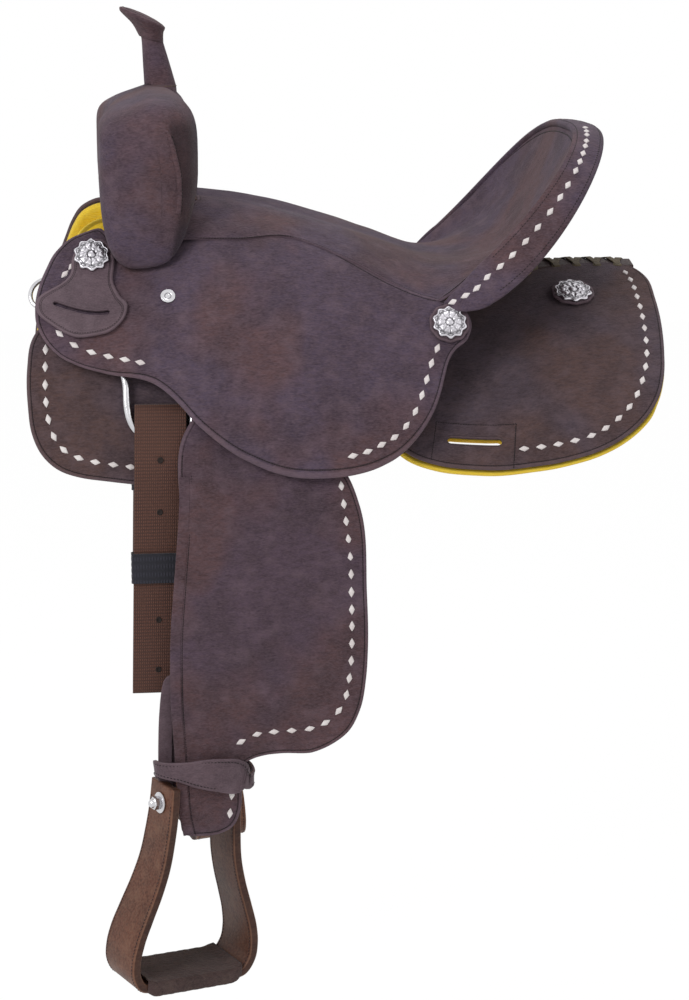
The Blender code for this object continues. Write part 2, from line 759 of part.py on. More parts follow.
def seat_layer(name, cells_u, cells_v, low, high, look):
    """A layer of the seat between two heights, over a block of the seat's grid cells."""
    step_u, step_v = 0.995 / SEAT_CELLS[0], 1.99 / SEAT_CELLS[1]
    u0, u1 = (k * step_u for k in cells_u)
    reach = cells_v * step_v
    outline = [(u0, -reach), (u1, -reach), (u1, reach), (u0, reach)]
    slab(
        name, [(u * SEAT_SCALE, v * SEAT_SCALE) for u, v in outline],
        (step_u * SEAT_SCALE * 1.001, step_v * SEAT_SCALE * 1.001),
        lambda u, v: seat_top(u / SEAT_SCALE, v / SEAT_SCALE, low),
        lambda u, v: seat_top(u / SEAT_SCALE, v / SEAT_SCALE, high),
        look, NEAR,
    )


def build_seat():
    seat_layer("seat_leather", (0, 16), 7, -SEAT_LEATHER, 0.0, suede())
    foam = material("seat_foam", FOAM, 0.95)
    seat_layer("seat_foam", (1, 12), 5, -11.0, -SEAT_LEATHER - 1.2, foam)
    seat_layer("ground_seat", (1, 11), 4, -15.0, -12.2, fibreglass())


# Cantle roll, back and board


def rim_frame(angle):
    """The roll's middle, width and the directions across it and out of it."""
    inner = cantle_line(angle, **CANTLE_SEAM)
    outer = cantle_line(angle, **CANTLE_RIM)
    step = 0.01
    along = cantle_line(min(angle + step, pi / 2), **CANTLE_SEAM)
    along = along - cantle_line(max(angle - step, -pi / 2), **CANTLE_SEAM)
    along /= np.linalg.norm(along)
    width = np.linalg.norm(outer - inner)
    across = (outer - inner) / width
    normal = np.cross(across, along)
    normal /= np.linalg.norm(normal)
    if normal[2] < 0:
        normal = -normal
    return (inner + outer) / 2, width, across, normal


ROLL_HALF = 5.2
ROLL_SINK = 0.6
ROLL_CLEAR = 1.9


def rim_section(angle, count=10):
    """The roll's slice: a flattened oval between the seat's seam and the rim."""
    middle, width, across, normal = rim_frame(angle)
    middle = middle + across * ROLL_CLEAR - normal * ROLL_SINK
    turn = np.arange(count) * 2 * pi / count
    a = (width / 2 - ROLL_CLEAR) * power(np.cos(turn), 0.8)
    b = ROLL_HALF * power(np.sin(turn), 0.8)
    return middle + across * a[:, None] + normal * b[:, None]


# The cantle back's foot: its place along X at the sides, its reach behind that in the
# middle and its half width; it stands on the lace strip and then on the bars
BACK_FOOT_X, BACK_FOOT_REACH, BACK_FOOT_HALF = 95.0, 101.0, 74.0
BACK_FOOT_LIFT = ((22, 34), (19.0, 31.0))
UNDER_ROLL = 2.0


def cantle_back(angle, f, depth=0.0):
    """The cantle's back, f from 0 under the roll to 1 at its foot on the skirt."""
    middle, width, across, normal = rim_frame(angle)
    top = middle - normal * (ROLL_SINK + ROLL_HALF + UNDER_ROLL) - across * UNDER_ROLL
    foot_x = BACK_FOOT_X + BACK_FOOT_REACH * abs(cos(angle)) ** 0.8
    foot_y = -BACK_FOOT_HALF * float(power(np.array(sin(angle)), 0.8))
    lift = np.interp(abs(foot_y), *BACK_FOOT_LIFT)
    ground = height_over(back_surface, foot_x, abs(foot_y), 240, lift)[0]
    point = top * (1 - f) + np.array((foot_x, foot_y, ground)) * f
    plan = np.array((cos(angle), -sin(angle), 0.0))
    return point - plan * depth


def build_cantle():
    half = [radians(a) for a in range(0, 67, 6)]
    half += [np.arccos(q * q) for q in (0.52, 0.4, 0.28, 0.17, 0.07)]
    stations = [-a for a in half[:0:-1]] + half
    loft("cantle_roll", [rim_section(a) for a in stations], suede())
    loops = []
    for angle in np.radians(np.linspace(-62, 62, 17)):
        outside = [cantle_back(angle, f) for f in np.linspace(0.0, 1.0, 4)]
        inside = [cantle_back(angle, f, 2.4) for f in np.linspace(1.0, 0.0, 4)]
        loops.append(outside + inside)
    loft("cantle_back_cover", loops, suede())
    loops = []
    for angle in np.radians(np.linspace(-36, 36, 11)):
        outside = [cantle_back(angle, f, 4.4) for f in np.linspace(0.16, 0.95, 4)]
        inside = [cantle_back(angle, f, 7.4 + 5.0 * f) for f in np.linspace(0.95, 0.16, 4)]
        loops.append(outside + inside)
    loft("tree_cantle", loops, fibreglass())


# Seat jockeys

JOCKEY_OUTLINE = (
    (-257, 0.045), (-272, 0.054), (-285, 0.074), (-301, 0.141), (-311, 0.234),
    (-319, 0.343), (-322, 0.449), (-320, 0.539), (-312, 0.605), (-299, 0.651),
    (-280, 0.672), (-261, 0.689), (-242, 0.721), (-213, 0.797), (-196, 0.854),
    (-181, 0.902), (-169, 0.934), (-154, 0.957), (-133, 0.975), (-111, 0.981),
    (-69, 0.981), (-39, 0.975), (-9, 0.967), (13, 0.960), (30, 0.952), (44, 0.938),
    (57, 0.916), (67, 0.888), (74, 0.852), (79, 0.812), (83, 0.782), (90, 0.756),
    (102, 0.735), (107.5, 0.700), (104, 0.645), (88, 0.608), (64, 0.586), (29, 0.532),
    (-9, 0.460), (-40, 0.422), (-68, 0.411), (-113, 0.476), (-146, 0.474), (-158, 0.492),
    (-173, 0.500), (-192, 0.465), (-210, 0.400), (-227, 0.300), (-238, 0.212),
    (-248, 0.090),
)
T_SCALE = 300.0


def build_jockeys():
    outline = [(x, t * T_SCALE) for x, t in JOCKEY_OUTLINE]
    for word, side in SIDES:
        leather(
            f"seat_jockey_{word}", outline, (34, 26),
            lambda u, v: side_surface(u, v / T_SCALE, -JOCKEY), JOCKEY, suede(), side,
        )


# Fenders, stirrup leathers and hobble straps

FENDER_FRONT = (
    (-150, -66), (-160, -108), (-178, -136), (-186, -211), (-192, -280), (-196, -331),
    (-197, -390), (-195, -432),
)
# The far neck is hidden, turned with its stirrup, and modelled short
FENDER_NECK = {
    NEAR: (
        (-194, -470), (-192, -505), (-189, -527), (-172, -530), (-153, -528), (-141, -520),
        (-137, -505), (-137, -482), (-133, -471),
    ),
    FAR: ((-194, -470), (-190, -476), (-142, -476), (-136, -470)),
}
FENDER_REAR = (
    (-127, -463), (-119, -458), (-106, -454), (-90, -452), (-58, -450), (-38, -442),
    (-22, -430), (-10, -408), (-4, -378), (-2, -348), (-3, -290), (-9, -205), (-20, -176),
    (-56, -140), (-66, -66),
)
WEB_EDGE = -165.0

# How each side's stirrup hangs: the bolt's place, how far the stirrup is turned from
# the horse's side, how far its foot leans forward and how far the fender swings back
HANGERS = {
    NEAR: dict(bolt=(-174.0, -232.0, -500.0), yaw=28.0, lean=5.8, swing=0.0, neck=0.249),
    FAR: dict(bolt=(-174.0, -222.0, -500.0), yaw=80.0, lean=0.0, swing=3.0, neck=0.0),
}
SWING_PIVOT = (-110.0, -170.0, -40.0)


def swung(points, side):
    """The points turned back about the bar by the side's resting swing."""
    angle = radians(HANGERS[side]["swing"])
    points = np.asarray(points, float) - SWING_PIVOT
    x = points[..., 0] * cos(angle) - points[..., 2] * sin(angle)
    z = points[..., 0] * sin(angle) + points[..., 2] * cos(angle)
    return np.stack([x, points[..., 1], z], -1) + SWING_PIVOT


def hang(x, z, lift=0.0, neck=0.249):
    """The fender's inner face, which hangs between the skirt and the jockey."""
    x, z, lift = spread(x, z, lift)
    heights = (-560, -500, -440, -380, -260, -190, -150, -110, -66)
    over_web = (251, 251, 246, 239, 235.5, 227.5, 218.8, 206, 188)
    behind_web = (251, 251, 246, 239, 234.0, 222.5, 213, 200, 182)
    back = np.clip((x - WEB_EDGE) / 30, 0, 1)
    out = smooth_table(heights, over_web, z) * (1 - back)
    out = out + smooth_table(heights, behind_web, z) * back
    twist = smooth_table((-560, -495, -400, -60), (neck, neck, 0.0, 0.0), z)
    out = out + twist * (-170.0 - x) * np.clip((-60 - x) / 60, 0, 1)
    return np.stack([x, -(out + lift), z], -1)


def build_fenders():
    for word, side in SIDES:
        neck = HANGERS[side]["neck"]
        outline = FENDER_FRONT + FENDER_NECK[side] + FENDER_REAR
        leather(
            f"fender_{word}", outline, (50, 44),
            lambda x, z: swung(hang(x, z, 0.0, neck), side), FENDER, suede(), side, SWING_PIVOT,
        )


# The stirrup leather's middle line on each side, top to bottom: place along X, distance
# inside the fender's face, height, half width, and twist as a part of the yaw
LEATHER_RUN = {
    NEAR: (
        (-108, 4.6, -66, 33, 0), (-110, 4.6, -110, 33, 0), (-112, 4.6, -150, 33, 0),
        (-114, 4.6, -190, 33, 0), (-122, 4.6, -280, 32, 0), (-138, 5.2, -360, 31, 0.03),
        (-158, 9.5, -430, 28, 0.40), (-170, 11.0, -472, 25, 0.90),
    ),
    FAR: (
        (-108, 4.6, -66, 33, 0), (-110, 4.6, -110, 33, 0), (-112, 4.6, -150, 33, 0),
        (-114, 4.6, -190, 33, 0), (-122, 5.0, -280, 32, 0), (-138, 9.0, -350, 30, 0.06),
        (-155, 18, -410, 25, 0.34), (-163, 26, -450, 23, 0.74), (-165, 27, -476, 23, 0.97),
    ),
}
LOOP_HALF = 24.0


def build_stirrup_leathers():
    turn = ROLLER + 0.8 + STRAP / 2
    for word, side in SIDES:
        hanger = HANGERS[side]
        yaw = radians(hanger["yaw"])
        lines = []
        for x, inside, z, half, twist in LEATHER_RUN[side]:
            middle = hang(x, z, -inside, 0.0)[0]
            across = np.array((cos(twist * yaw), sin(twist * yaw), 0)) * half
            lines.append([middle - across, middle, middle + across])
        for angle in np.radians(np.arange(0, 226, 25)):
            w, z = -turn * cos(angle), -turn * sin(angle)
            lines.append([to_stirrup(side, u, w, z)[0] for u in (-LOOP_HALF, 0, LOOP_HALF)])
        points = np.array(lines)
        points[: len(LEATHER_RUN[side])] = swung(points[: len(LEATHER_RUN[side])], side)
        faces = []
        for r in range(len(lines) - 1):
            for k in (0, 1):
                a = r * 3 + k
                faces.append([a, a + 1, a + 4, a + 3])
        obj = add_object(
            f"stirrup_leather_{word}", points.reshape(-1, 3), faces, smooth_leather(), side,
            SWING_PIVOT, facing=(0, -1, 0),
        )
        thicken(obj, STRAP, 0.0)


# The hobble strap's ring on each side: middle, half lengths and turn. Its edges are
# given at five places from the front end to the rear end
HOBBLES = {
    NEAR: dict(middle=(-166, -243.5), half=(48.7, 20.5), turn=0.16),
    FAR: dict(middle=(-166, -231), half=(41.7, 39.0), turn=0.0),
}
HOBBLE_TOPS = {NEAR: (-452, -451, -449, -452, -465), FAR: (-455, -455, -456, -461, -470)}
HOBBLE_LOWS = {NEAR: (-467, -471, -481, -488, -486), FAR: (-471, -471, -472, -475, -481)}
# The ring's edges on the side towards the horse, and its least width at the front bend
HOBBLE_BEHIND = (-457, -474)
HOBBLE_LEAST = 15


def build_hobbles():
    count = 28
    for word, side in SIDES:
        ring = HOBBLES[side]
        turn = ring["turn"]
        rows = []
        for k in range(count):
            angle = 2 * pi * k / count
            a = ring["half"][0] * float(power(np.array(cos(angle)), 0.85))
            b = ring["half"][1] * float(power(np.array(sin(angle)), 0.85))
            x = ring["middle"][0] + a * cos(turn) - b * sin(turn)
            y = ring["middle"][1] + a * sin(turn) + b * cos(turn)
            outside = np.clip(-3 * sin(angle) + 1, 0, 1)
            top, low = (
                np.interp(cos(angle), (-1, -0.5, 0, 0.5, 1), edge[side])
                for edge in (HOBBLE_TOPS, HOBBLE_LOWS)
            )
            low = low * outside + HOBBLE_BEHIND[1] * (1 - outside)
            if cos(angle) > 0.8:
                top = min(top, low + HOBBLE_LEAST)
            else:
                top = top * outside + HOBBLE_BEHIND[0] * (1 - outside)
            rows.append([(x, y, top), (x, y, (top + low) / 2), (x, y, low)])
        faces = []
        for k in range(count):
            m = (k + 1) % count
            for j in (0, 1):
                faces.append([k * 3 + j, m * 3 + j, m * 3 + j + 1, k * 3 + j + 1])
        points = swung(np.array(rows).reshape(-1, 3), side)
        obj = add_object(
            f"hobble_strap_{word}", points, faces, smooth_leather(), side, SWING_PIVOT,
            facing=(0, 0, 1),
        )
        thicken(obj, STRAP, 0.0)


# Stirrups

def stirrup_path():
    """The wood's middle line in the stirrup's plane, down one arm and up the other."""
    half = np.array(STIRRUP_HALF, float) - STIRRUP_WOOD / 2
    drop = np.array(STIRRUP_DROP, float)
    bottom = STIRRUP_BOTTOM + STIRRUP_WOOD / 2
    arm = list(zip(half, drop)) + [(50.0, bottom + 1.0)]
    floor = [(24.0, bottom), (0.0, bottom), (-24.0, bottom)]
    return np.array([(-a, z) for a, z in arm] + [(-a, z) for a, z in floor] + arm[::-1])


def stirrup_depth(z):
    return np.interp(z, (-200, -140, -60, 20), (60, 58, 50, 44))


def stirrup_axes(side):
    """The stirrup's own directions: along the bolt, away from the rider and up."""
    hanger = HANGERS[side]
    yaw, lean = radians(hanger["yaw"]), radians(hanger["lean"] - hanger["swing"])
    flat = np.array([(cos(yaw), sin(yaw), 0), (-sin(yaw), cos(yaw), 0), (0, 0, 1)])
    tilt = np.array([(cos(lean), 0, sin(lean)), (0, 1, 0), (-sin(lean), 0, cos(lean))])
    return flat @ tilt.T


def to_stirrup(side, u, w, z):
    """Points from the stirrup's own directions, measured from the bolt's middle."""
    u, w, z = spread(u, w, z)
    return swung(HANGERS[side]["bolt"], side) + np.stack([u, w, z], -1) @ stirrup_axes(side)


def build_stirrups():
    wood = material("stirrup_leather_on_wood", STIRRUP_BROWN, 0.4)
    path = stirrup_path()
    along = np.gradient(path, axis=0)
    along /= np.linalg.norm(along, axis=1)[:, None]
    inward = np.stack([-along[:, 1], along[:, 0]], -1)
    bevel = 1.6
    around = np.arange(16) * pi / 8
    for word, side in SIDES:
        pivot = to_stirrup(side, 0, 0, 0)[0]
        loops = []
        for (u, z), (nu, nz) in zip(path, inward):
            h, d = STIRRUP_WOOD / 2, stirrup_depth(z) / 2
            ring = [(h, d - bevel), (h - bevel, d), (bevel - h, d), (-h, d - bevel),
                    (-h, bevel - d), (bevel - h, -d), (h - bevel, -d), (h, bevel - d)]
            loops.append([to_stirrup(side, u + nu * t, w, z + nz * t)[0] for t, w in ring])
        obj = loft(f"stirrup_{word}", loops, wood, side, pivot)
        bore = [
            to_stirrup(side, u, BORE * np.cos(around), BORE * np.sin(around)) for u in (-60, 60)
        ]
        cut(obj, loft(f"bolt_bore_{word}", bore, wood, side, pivot))


TREAD = 2.8
TREAD_CLEAR = 1.4


def tread_ring(side, u, half, low, high, corner):
    ring = [(half - corner, high), (half, high - corner), (half, low + corner),
            (half - corner, low), (corner - half, low), (-half, low + corner),
            (-half, high - corner), (corner - half, high)]
    return [to_stirrup(side, u, w, z)[0] for w, z in ring]


def build_treads():
    """The leather wrapped round the stirrup's floor."""
    half = stirrup_depth(STIRRUP_BOTTOM) / 2
    top = STIRRUP_BOTTOM + STIRRUP_WOOD
    for word, side in SIDES:
        places = np.linspace(-42, 42, 6)
        outer_size = (half + TREAD, STIRRUP_BOTTOM - TREAD, top + TREAD + TREAD_CLEAR, 2.5)
        inner_size = (half + 0.5, STIRRUP_BOTTOM - 0.5, top + TREAD_CLEAR, 0.8)
        outer = [tread_ring(side, u, *outer_size) for u in places]
        inner = [tread_ring(side, u, *inner_size) for u in places]
        pivot = to_stirrup(side, 0, 0, 0)[0]
        sleeve(f"stirrup_tread_{word}", outer, inner, suede(), side, pivot)


def build_bolts():
    arm = STIRRUP_HALF[0]
    profile = [
        (0, arm + 13.5), (2.8, arm + 12.6), (4.4, arm + 9.5), (6.8, arm + 8.6),
        (6.8, arm + 2.2), (10.5, arm + 2.0), (10.5, arm + 0.3), (5.0, arm + 0.3),
        (5.0, -arm - 0.3), (10.5, -arm - 0.3), (10.5, -arm - 2.0), (7.0, -arm - 2.6),
        (0, -arm - 6.2),
    ]
    tube = [(ROLLER, 31), (ROLLER, -31), (BORE, -31), (BORE, 31), (ROLLER, 31)]
    for word, side in SIDES:
        middle = to_stirrup(side, 0, 0, 0)[0]
        along = -stirrup_axes(side)[0]
        turned(f"stirrup_bolt_{word}", profile, 14, middle, along, steel(), side)
        loop = bpy.data.objects[f"stirrup_leather_{word}"]
        turned(f"stirrup_roller_{word}", tube, 14, middle, along, steel(), side, loop)


# Rigging, straps and small pieces

# The dees' middles; the far one hangs a little further back, behind the near one
DEE_X = {NEAR: -203.0, FAR: -200.0}
DEE_LIFT = 21.8
DEE_WIRE = 4.0
DEE_HALF = 32.0
DEE_TOP, DEE_SIDE, DEE_BOTTOM = 262.0, 284.0, 326.0
RIGGING = 2.0


def build_rigging_dees():
    for word, side in SIDES:
        points = [(DEE_X[side] + part * DEE_HALF, DEE_TOP) for part in (-1, -0.5, 0, 0.5, 1)]
        for k in range(11):
            angle = pi * k / 10
            across = float(power(np.array(cos(angle)), 0.6))
            drop = DEE_SIDE + (DEE_BOTTOM - DEE_SIDE) * sin(angle) ** 0.6
            points.append((DEE_X[side] + DEE_HALF * across, drop))
        ring = [back_surface(x, s, DEE_LIFT)[0] for x, s in points]
        wire(f"rigging_dee_{word}", ring, DEE_WIRE, steel(), side, closed=True)


def strap(name, rows, thickness, look, side, pivot=(0, 0, 0)):
    """A strap through rows of points that run across its width."""
    rows = np.asarray(rows, float)
    count, n = rows.shape[:2]
    faces = []
    for r in range(count - 1):
        for k in range(n - 1):
            a = r * n + k
            faces.append([a, a + 1, a + n + 1, a + n])
    obj = add_object(name, rows.reshape(-1, 3), faces, look, side, pivot, facing=(0, -1, 0))
    return thicken(obj, thickness, 0.0)


def build_rigging_leathers():
    """The leather that carries each dee, folded round the dee's straight bar."""
    fold = DEE_WIRE + 0.4 + RIGGING / 2
    run = [(s, DEE_LIFT - fold) for s in (172, 195, 218, 240, DEE_TOP - 6)]
    for k in range(7):
        angle = pi * k / 6
        run.append((DEE_TOP + fold * sin(angle), DEE_LIFT - fold * cos(angle)))
    run.append((DEE_TOP - 18, DEE_LIFT + 0.8))
    for word, side in SIDES:
        across = DEE_X[side] + np.array((-23.5, 0.0, 23.5))
        rows = [back_surface(across, s, lift) for s, lift in run]
        strap(f"rigging_leather_{word}", rows, RIGGING, smooth_leather(), side)


WEB_HALF = 25.0
WEB = 2.0
WEB_FOOT = -393.0
WEB_BACK, WEB_FRONT = -213.8, -217.0


def at_height(x, z, lift):
    """The point over the skirt with the given place along X and height."""
    steps = np.linspace(200, 390, 200)
    line = back_surface(np.full(200, x), steps, lift)
    return np.array((x, np.interp(-z, -line[:, 2], line[:, 1]), z))


def build_webs():
    """The nylon strap doubled over each dee: up behind, over and down in front."""
    look = material("nylon_webbing", WEB_BROWN, 0.7)
    behind = ((-168, 15.9), (-150, 15.9), (-134, 16.1), (-120, 16.6), (-110, 18.4))
    ahead = ((-106, 21.9), (-110, 25.8), (-120, 27.1), (-134, 27.2), (-150, 27.4))
    for word, side in SIDES:
        def across(z):
            middle = DEE_X[side] + 1.0 + (z + 104) * 0.026
            return middle + np.array((-WEB_HALF, 0.0, WEB_HALF))

        rows = [[(x, WEB_BACK, z) for x in across(z)] for z in (WEB_FOOT + 3, -290, -198)]
        rows += [[at_height(x, z, lift) for x in across(z)] for z, lift in behind + ahead]
        rows += [[(x, WEB_FRONT, z) for x in across(z)] for z in (-166, -290, WEB_FOOT)]
        pivot = back_surface(DEE_X[side], DEE_BOTTOM, DEE_LIFT)[0]
        strap(f"web_strap_{word}", rows, WEB, look, side, pivot)


def rectangle(x, y, z, half_x, half_y, corner):
    points = [(half_x - corner, half_y), (half_x, half_y - corner), (half_x, corner - half_y),
              (half_x - corner, -half_y), (corner - half_x, -half_y), (-half_x, corner - half_y),
              (-half_x, half_y - corner), (corner - half_x, half_y)]
    return [(x + a, y + b, z) for a, b in points]


def build_keepers():
    look = material("navy_elastic", WEB_NAVY, 0.85)
    for word, side in SIDES:
        x, y = DEE_X[side] - 2.0, (WEB_BACK + WEB_FRONT) / 2
        pivot = back_surface(DEE_X[side], DEE_BOTTOM, DEE_LIFT)[0]
        outer = [rectangle(x, y, z, 28.2, 5.2, 2.0) for z in (-250, -265, -280)]
        inner = [rectangle(x, y, z, 26.8, 3.4, 1.0) for z in (-250, -265, -280)]
        sleeve(f"strap_keeper_{word}", outer, inner, look, side, pivot)


FRONT_DEE = {NEAR: (-312.0, 184.0), FAR: (-294.0, 190.0)}
FRONT_DEE_RING = 14.5
FRONT_DEE_WIRE = 2.3


def build_front_dees():
    """The small breast-collar rings between the front skirts and the jockeys."""
    for word, side in SIDES:
        x, s = FRONT_DEE[side]
        ring = []
        for k in range(14):
            angle = 2 * pi * k / 14
            across, down = FRONT_DEE_RING * cos(angle), FRONT_DEE_RING * sin(angle)
            ring.append(back_surface(x + across, s + down, SKIRT_TOP + FRONT_DEE_WIRE + GAP)[0])
        wire(f"front_dee_{word}", ring, FRONT_DEE_WIRE, steel(), side, closed=True)


HOLDER_OUTLINE = (
    (-286, 0.245), (-321, 0.431), (-319, 0.480), (-305, 0.520), (-285, 0.548),
    (-264, 0.536), (-245, 0.528), (-235, 0.509), (-231.5, 0.474), (-239, 0.399),
    (-245, 0.317), (-243, 0.220), (-247, 0.150), (-256, 0.110), (-268, 0.105),
    (-279, 0.135), (-285, 0.185),
)
HOLDER = 4.4
HOLDER_LIFT = 0.9
FRONT_CONCHO = (-265.5, 0.181)
SEAT_CONCHO = (85.0, 0.676)
REAR_CONCHO = (228.0, 83.0)
JOCKEY_SCREW = (-192.0, 0.586)


def on_side(x, t_scaled, lift):
    return side_surface(x, np.asarray(t_scaled) / T_SCALE, lift)


def build_latigo_holder():
    """The flat leather keeper that hangs under the near front concho."""
    outline = [(x, t * T_SCALE) for x, t in HOLDER_OUTLINE]
    x, t = FRONT_CONCHO
    pivot = side_surface(x, t, HOLDER_LIFT)[0]
    obj = leather(
        "latigo_holder", outline, (32, 24), lambda u, v: on_side(u, v, HOLDER_LIFT), HOLDER,
        smooth_leather(), NEAR, pivot,
    )
    slot = stadium((-276.5, 0.429 * T_SCALE), 56, 5.0, 0.21)
    cutter = slab(
        "slot_holder", slot, (80, 80), lambda u, v: on_side(u, v, HOLDER_LIFT - 3),
        lambda u, v: on_side(u, v, HOLDER_LIFT + HOLDER + 3), suede(), NEAR,
    )
    cut(obj, cutter)


def stacked(name, middle, normal, rings, look, side, count=24, scallops=0, depth=0.0):
    """A round piece of (radius, height) rings on a surface, its rim scalloped if asked."""
    normal = np.asarray(normal, float)
    ahead = np.cross(normal, (0, 0, 1.0))
    ahead /= np.linalg.norm(ahead)
    up = np.cross(ahead, normal)
    angle = np.arange(count) * 2 * pi / count
    wave = 1 - depth * (0.5 + 0.5 * np.cos(angle * scallops))
    loops = []
    for radius, height in rings:
        r = radius * wave
        loops.append(middle + np.outer(r * np.cos(angle), ahead)
                     + np.outer(r * np.sin(angle), up) + normal * height)
    return loft(name, loops, look, side, middle)


def surface_frame(surface, u, v, lift):
    """A point over a surface and the direction straight out of it."""
    low, high = surface(u, v, lift)[0], surface(u, v, lift + 1)[0]
    return low, (high - low) / np.linalg.norm(high - low)


def build_conchos():
    """Silver conchos; the seat and rear ones sit on rounds of leather."""
    silver = material("antique_silver", SILVER, 0.35, 1.0)
    holder_top = HOLDER_LIFT + HOLDER + 0.9
    for word, side in SIDES:
        front_lift = holder_top if side == NEAR else 1.4
        places = (
            ("front", side_surface, FRONT_CONCHO, front_lift, 18.0, 0.0),
            ("seat", side_surface, SEAT_CONCHO, 1.6, 17.5, 20.5),
            ("rear", back_surface, REAR_CONCHO, SKIRT_TOP + 1.6, 20.0, 22.5),
        )
        for label, surface, place, lift, radius, round_radius in places:
            middle, normal = surface_frame(surface, *place, lift)
            if round_radius:
                rings = [(round_radius, 0.0), (round_radius - 0.6, 2.4)]
                stacked(
                    f"{label}_rosette_{word}", middle, normal, rings, smooth_leather(), side, 20,
                )
                middle = middle + normal * 2.8
            rings = [(radius, 0.0), (radius, 1.0), (radius * 0.84, 2.4), (radius * 0.3, 4.0)]
            stacked(f"{label}_concho_{word}", middle, normal, rings, silver, side, 24, 12, 0.07)


def build_jockey_screws():
    rings = [(7.2, 0.0), (7.2, 1.0), (4.5, 2.2)]
    for word, side in SIDES:
        middle, normal = surface_frame(side_surface, *JOCKEY_SCREW, 1.2)
        stacked(f"jockey_screw_{word}", middle, normal, rings, steel(), side, 16)


def main():
    clear_scene()
    build_skirts()
    build_skirt_lace()
    build_bars()
    build_fork()
    build_fork_cover()
    build_horn()
    build_seat()
    build_cantle()
    build_jockeys()
    build_fenders()
    build_stirrup_leathers()
    build_hobbles()
    build_stirrups()
    build_treads()
    build_bolts()
    build_rigging_dees()
    build_rigging_leathers()
    build_webs()
    build_keepers()
    build_front_dees()
    build_latigo_holder()
    build_conchos()
    build_jockey_screws()


main()
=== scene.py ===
# %% [markdown]
# # Barrel racing saddle
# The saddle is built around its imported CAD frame. The frame gives every joint, hole and
# collision shape, and this file gives what is seen: suede, stitching, lacing and metal.
# Nothing of the frame is moved. A solid of the frame that is seen is replaced by a fuller
# piece that rides on the same body, and what stays inside, such as the tree, is carried over.

from math import cos, pi, radians, sin

import bpy
import numpy as np
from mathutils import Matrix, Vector
from mathutils.geometry import delaunay_2d_cdt


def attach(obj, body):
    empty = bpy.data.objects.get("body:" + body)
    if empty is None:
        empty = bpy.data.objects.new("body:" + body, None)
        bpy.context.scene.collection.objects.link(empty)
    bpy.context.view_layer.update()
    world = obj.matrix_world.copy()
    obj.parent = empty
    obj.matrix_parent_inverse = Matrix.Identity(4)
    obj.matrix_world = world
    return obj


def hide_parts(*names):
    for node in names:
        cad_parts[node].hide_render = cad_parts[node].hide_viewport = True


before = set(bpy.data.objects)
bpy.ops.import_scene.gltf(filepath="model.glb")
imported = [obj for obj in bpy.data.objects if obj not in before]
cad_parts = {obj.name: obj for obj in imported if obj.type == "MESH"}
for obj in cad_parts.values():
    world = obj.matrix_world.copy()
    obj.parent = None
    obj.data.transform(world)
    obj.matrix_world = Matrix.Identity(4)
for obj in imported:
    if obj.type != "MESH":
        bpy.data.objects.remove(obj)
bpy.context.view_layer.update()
MM = 0.001
NEAR, FAR = -1, 1
SIDES = (("near", NEAR), ("far", FAR))

# %% [markdown]
# ## Camera and studio
# The photograph looks straight at the near side from a little above the seat, with a long
# lens, so that the far skirt shows only as a thin edge. The room is white: the camera sees
# plain white, while the saddle is lit by a soft sky, a large lamp above the camera and a
# weaker one from the right. The floor keeps a faint shadow under the stirrups.

# %% Camera, lamps and floor
SENSOR = 36
# The focal length in pixels, measured on a picture of this height
FOCAL_PIXELS = 2385
PICTURE_HEIGHT = 1000
FOCAL = FOCAL_PIXELS / PICTURE_HEIGHT * SENSOR
EYE = (-0.265, -2.5, 0.313)
LOOKS_AT = (0.0, 0.0, -0.25)
FLOOR = -0.955
FLOOR_REACH = 6
WHITE = (1, 1, 1, 1)
scene = bpy.context.scene
scene.view_settings.view_transform = "Standard"
camera_data = bpy.data.cameras.new("camera")
camera_data.lens = FOCAL
camera_data.sensor_width = SENSOR
camera = bpy.data.objects.new("camera", camera_data)
camera.location = EYE
aim = Vector(LOOKS_AT) - camera.location
camera.rotation_euler = aim.to_track_quat("-Z", "Y").to_euler()
scene.collection.objects.link(camera)
scene.camera = camera


def lamp(name, place, target, size, watts):
    """A square area lamp at a place, turned to its target."""
    data = bpy.data.lights.new(name, "AREA")
    data.size = size
    data.energy = watts
    obj = bpy.data.objects.new(name, data)
    obj.location = place
    turn = (Vector(target) - Vector(place)).to_track_quat("-Z", "Y")
    obj.rotation_euler = turn.to_euler()
    scene.collection.objects.link(obj)


lamp("key_lamp", (-2.1, -2.3, 1.7), (0, 0, -0.2), 1.3, 46)
lamp("side_lamp", (2.4, -1.4, 1.2), (0, 0, -0.2), 1.2, 6)
lamp("top_lamp", (0.2, 0.3, 2.6), (0, 0, 0), 1.4, 17)


def add(tree, kind, inputs=(), **settings):
    """Adds a shader node. An input that is a socket is linked, and any other is set."""
    made = tree.nodes.new("ShaderNode" + kind)
    for key, value in settings.items():
        setattr(made, key, value)
    for key, value in dict(inputs).items():
        if isinstance(value, bpy.types.NodeSocket):
            tree.links.new(value, made.inputs[key])
        else:
            made.inputs[key].default_value = value
    return made


world = bpy.data.worlds.new("studio")
world.use_nodes = True
scene.world = world
tree = world.node_tree
tree.nodes.clear()


def shown_white(tree):
    """1 for a ray of the camera, or one that metal or glass turns to the room."""
    ray = add(tree, "LightPath")
    seen = ray.outputs["Is Camera Ray"]
    for kind in ("Is Glossy Ray", "Is Transmission Ray"):
        either = add(tree, "Math", {0: seen, 1: ray.outputs[kind]}, operation="MAXIMUM")
        seen = either.outputs[0]
    return seen


sky = add(tree, "Background", {"Color": WHITE, "Strength": 0.44})
white = add(tree, "Background", {"Color": WHITE, "Strength": 1.0})
room = add(tree, "MixShader", {0: shown_white(tree), 1: sky.outputs[0], 2: white.outputs[0]})
add(tree, "OutputWorld", {"Surface": room.outputs[0]})

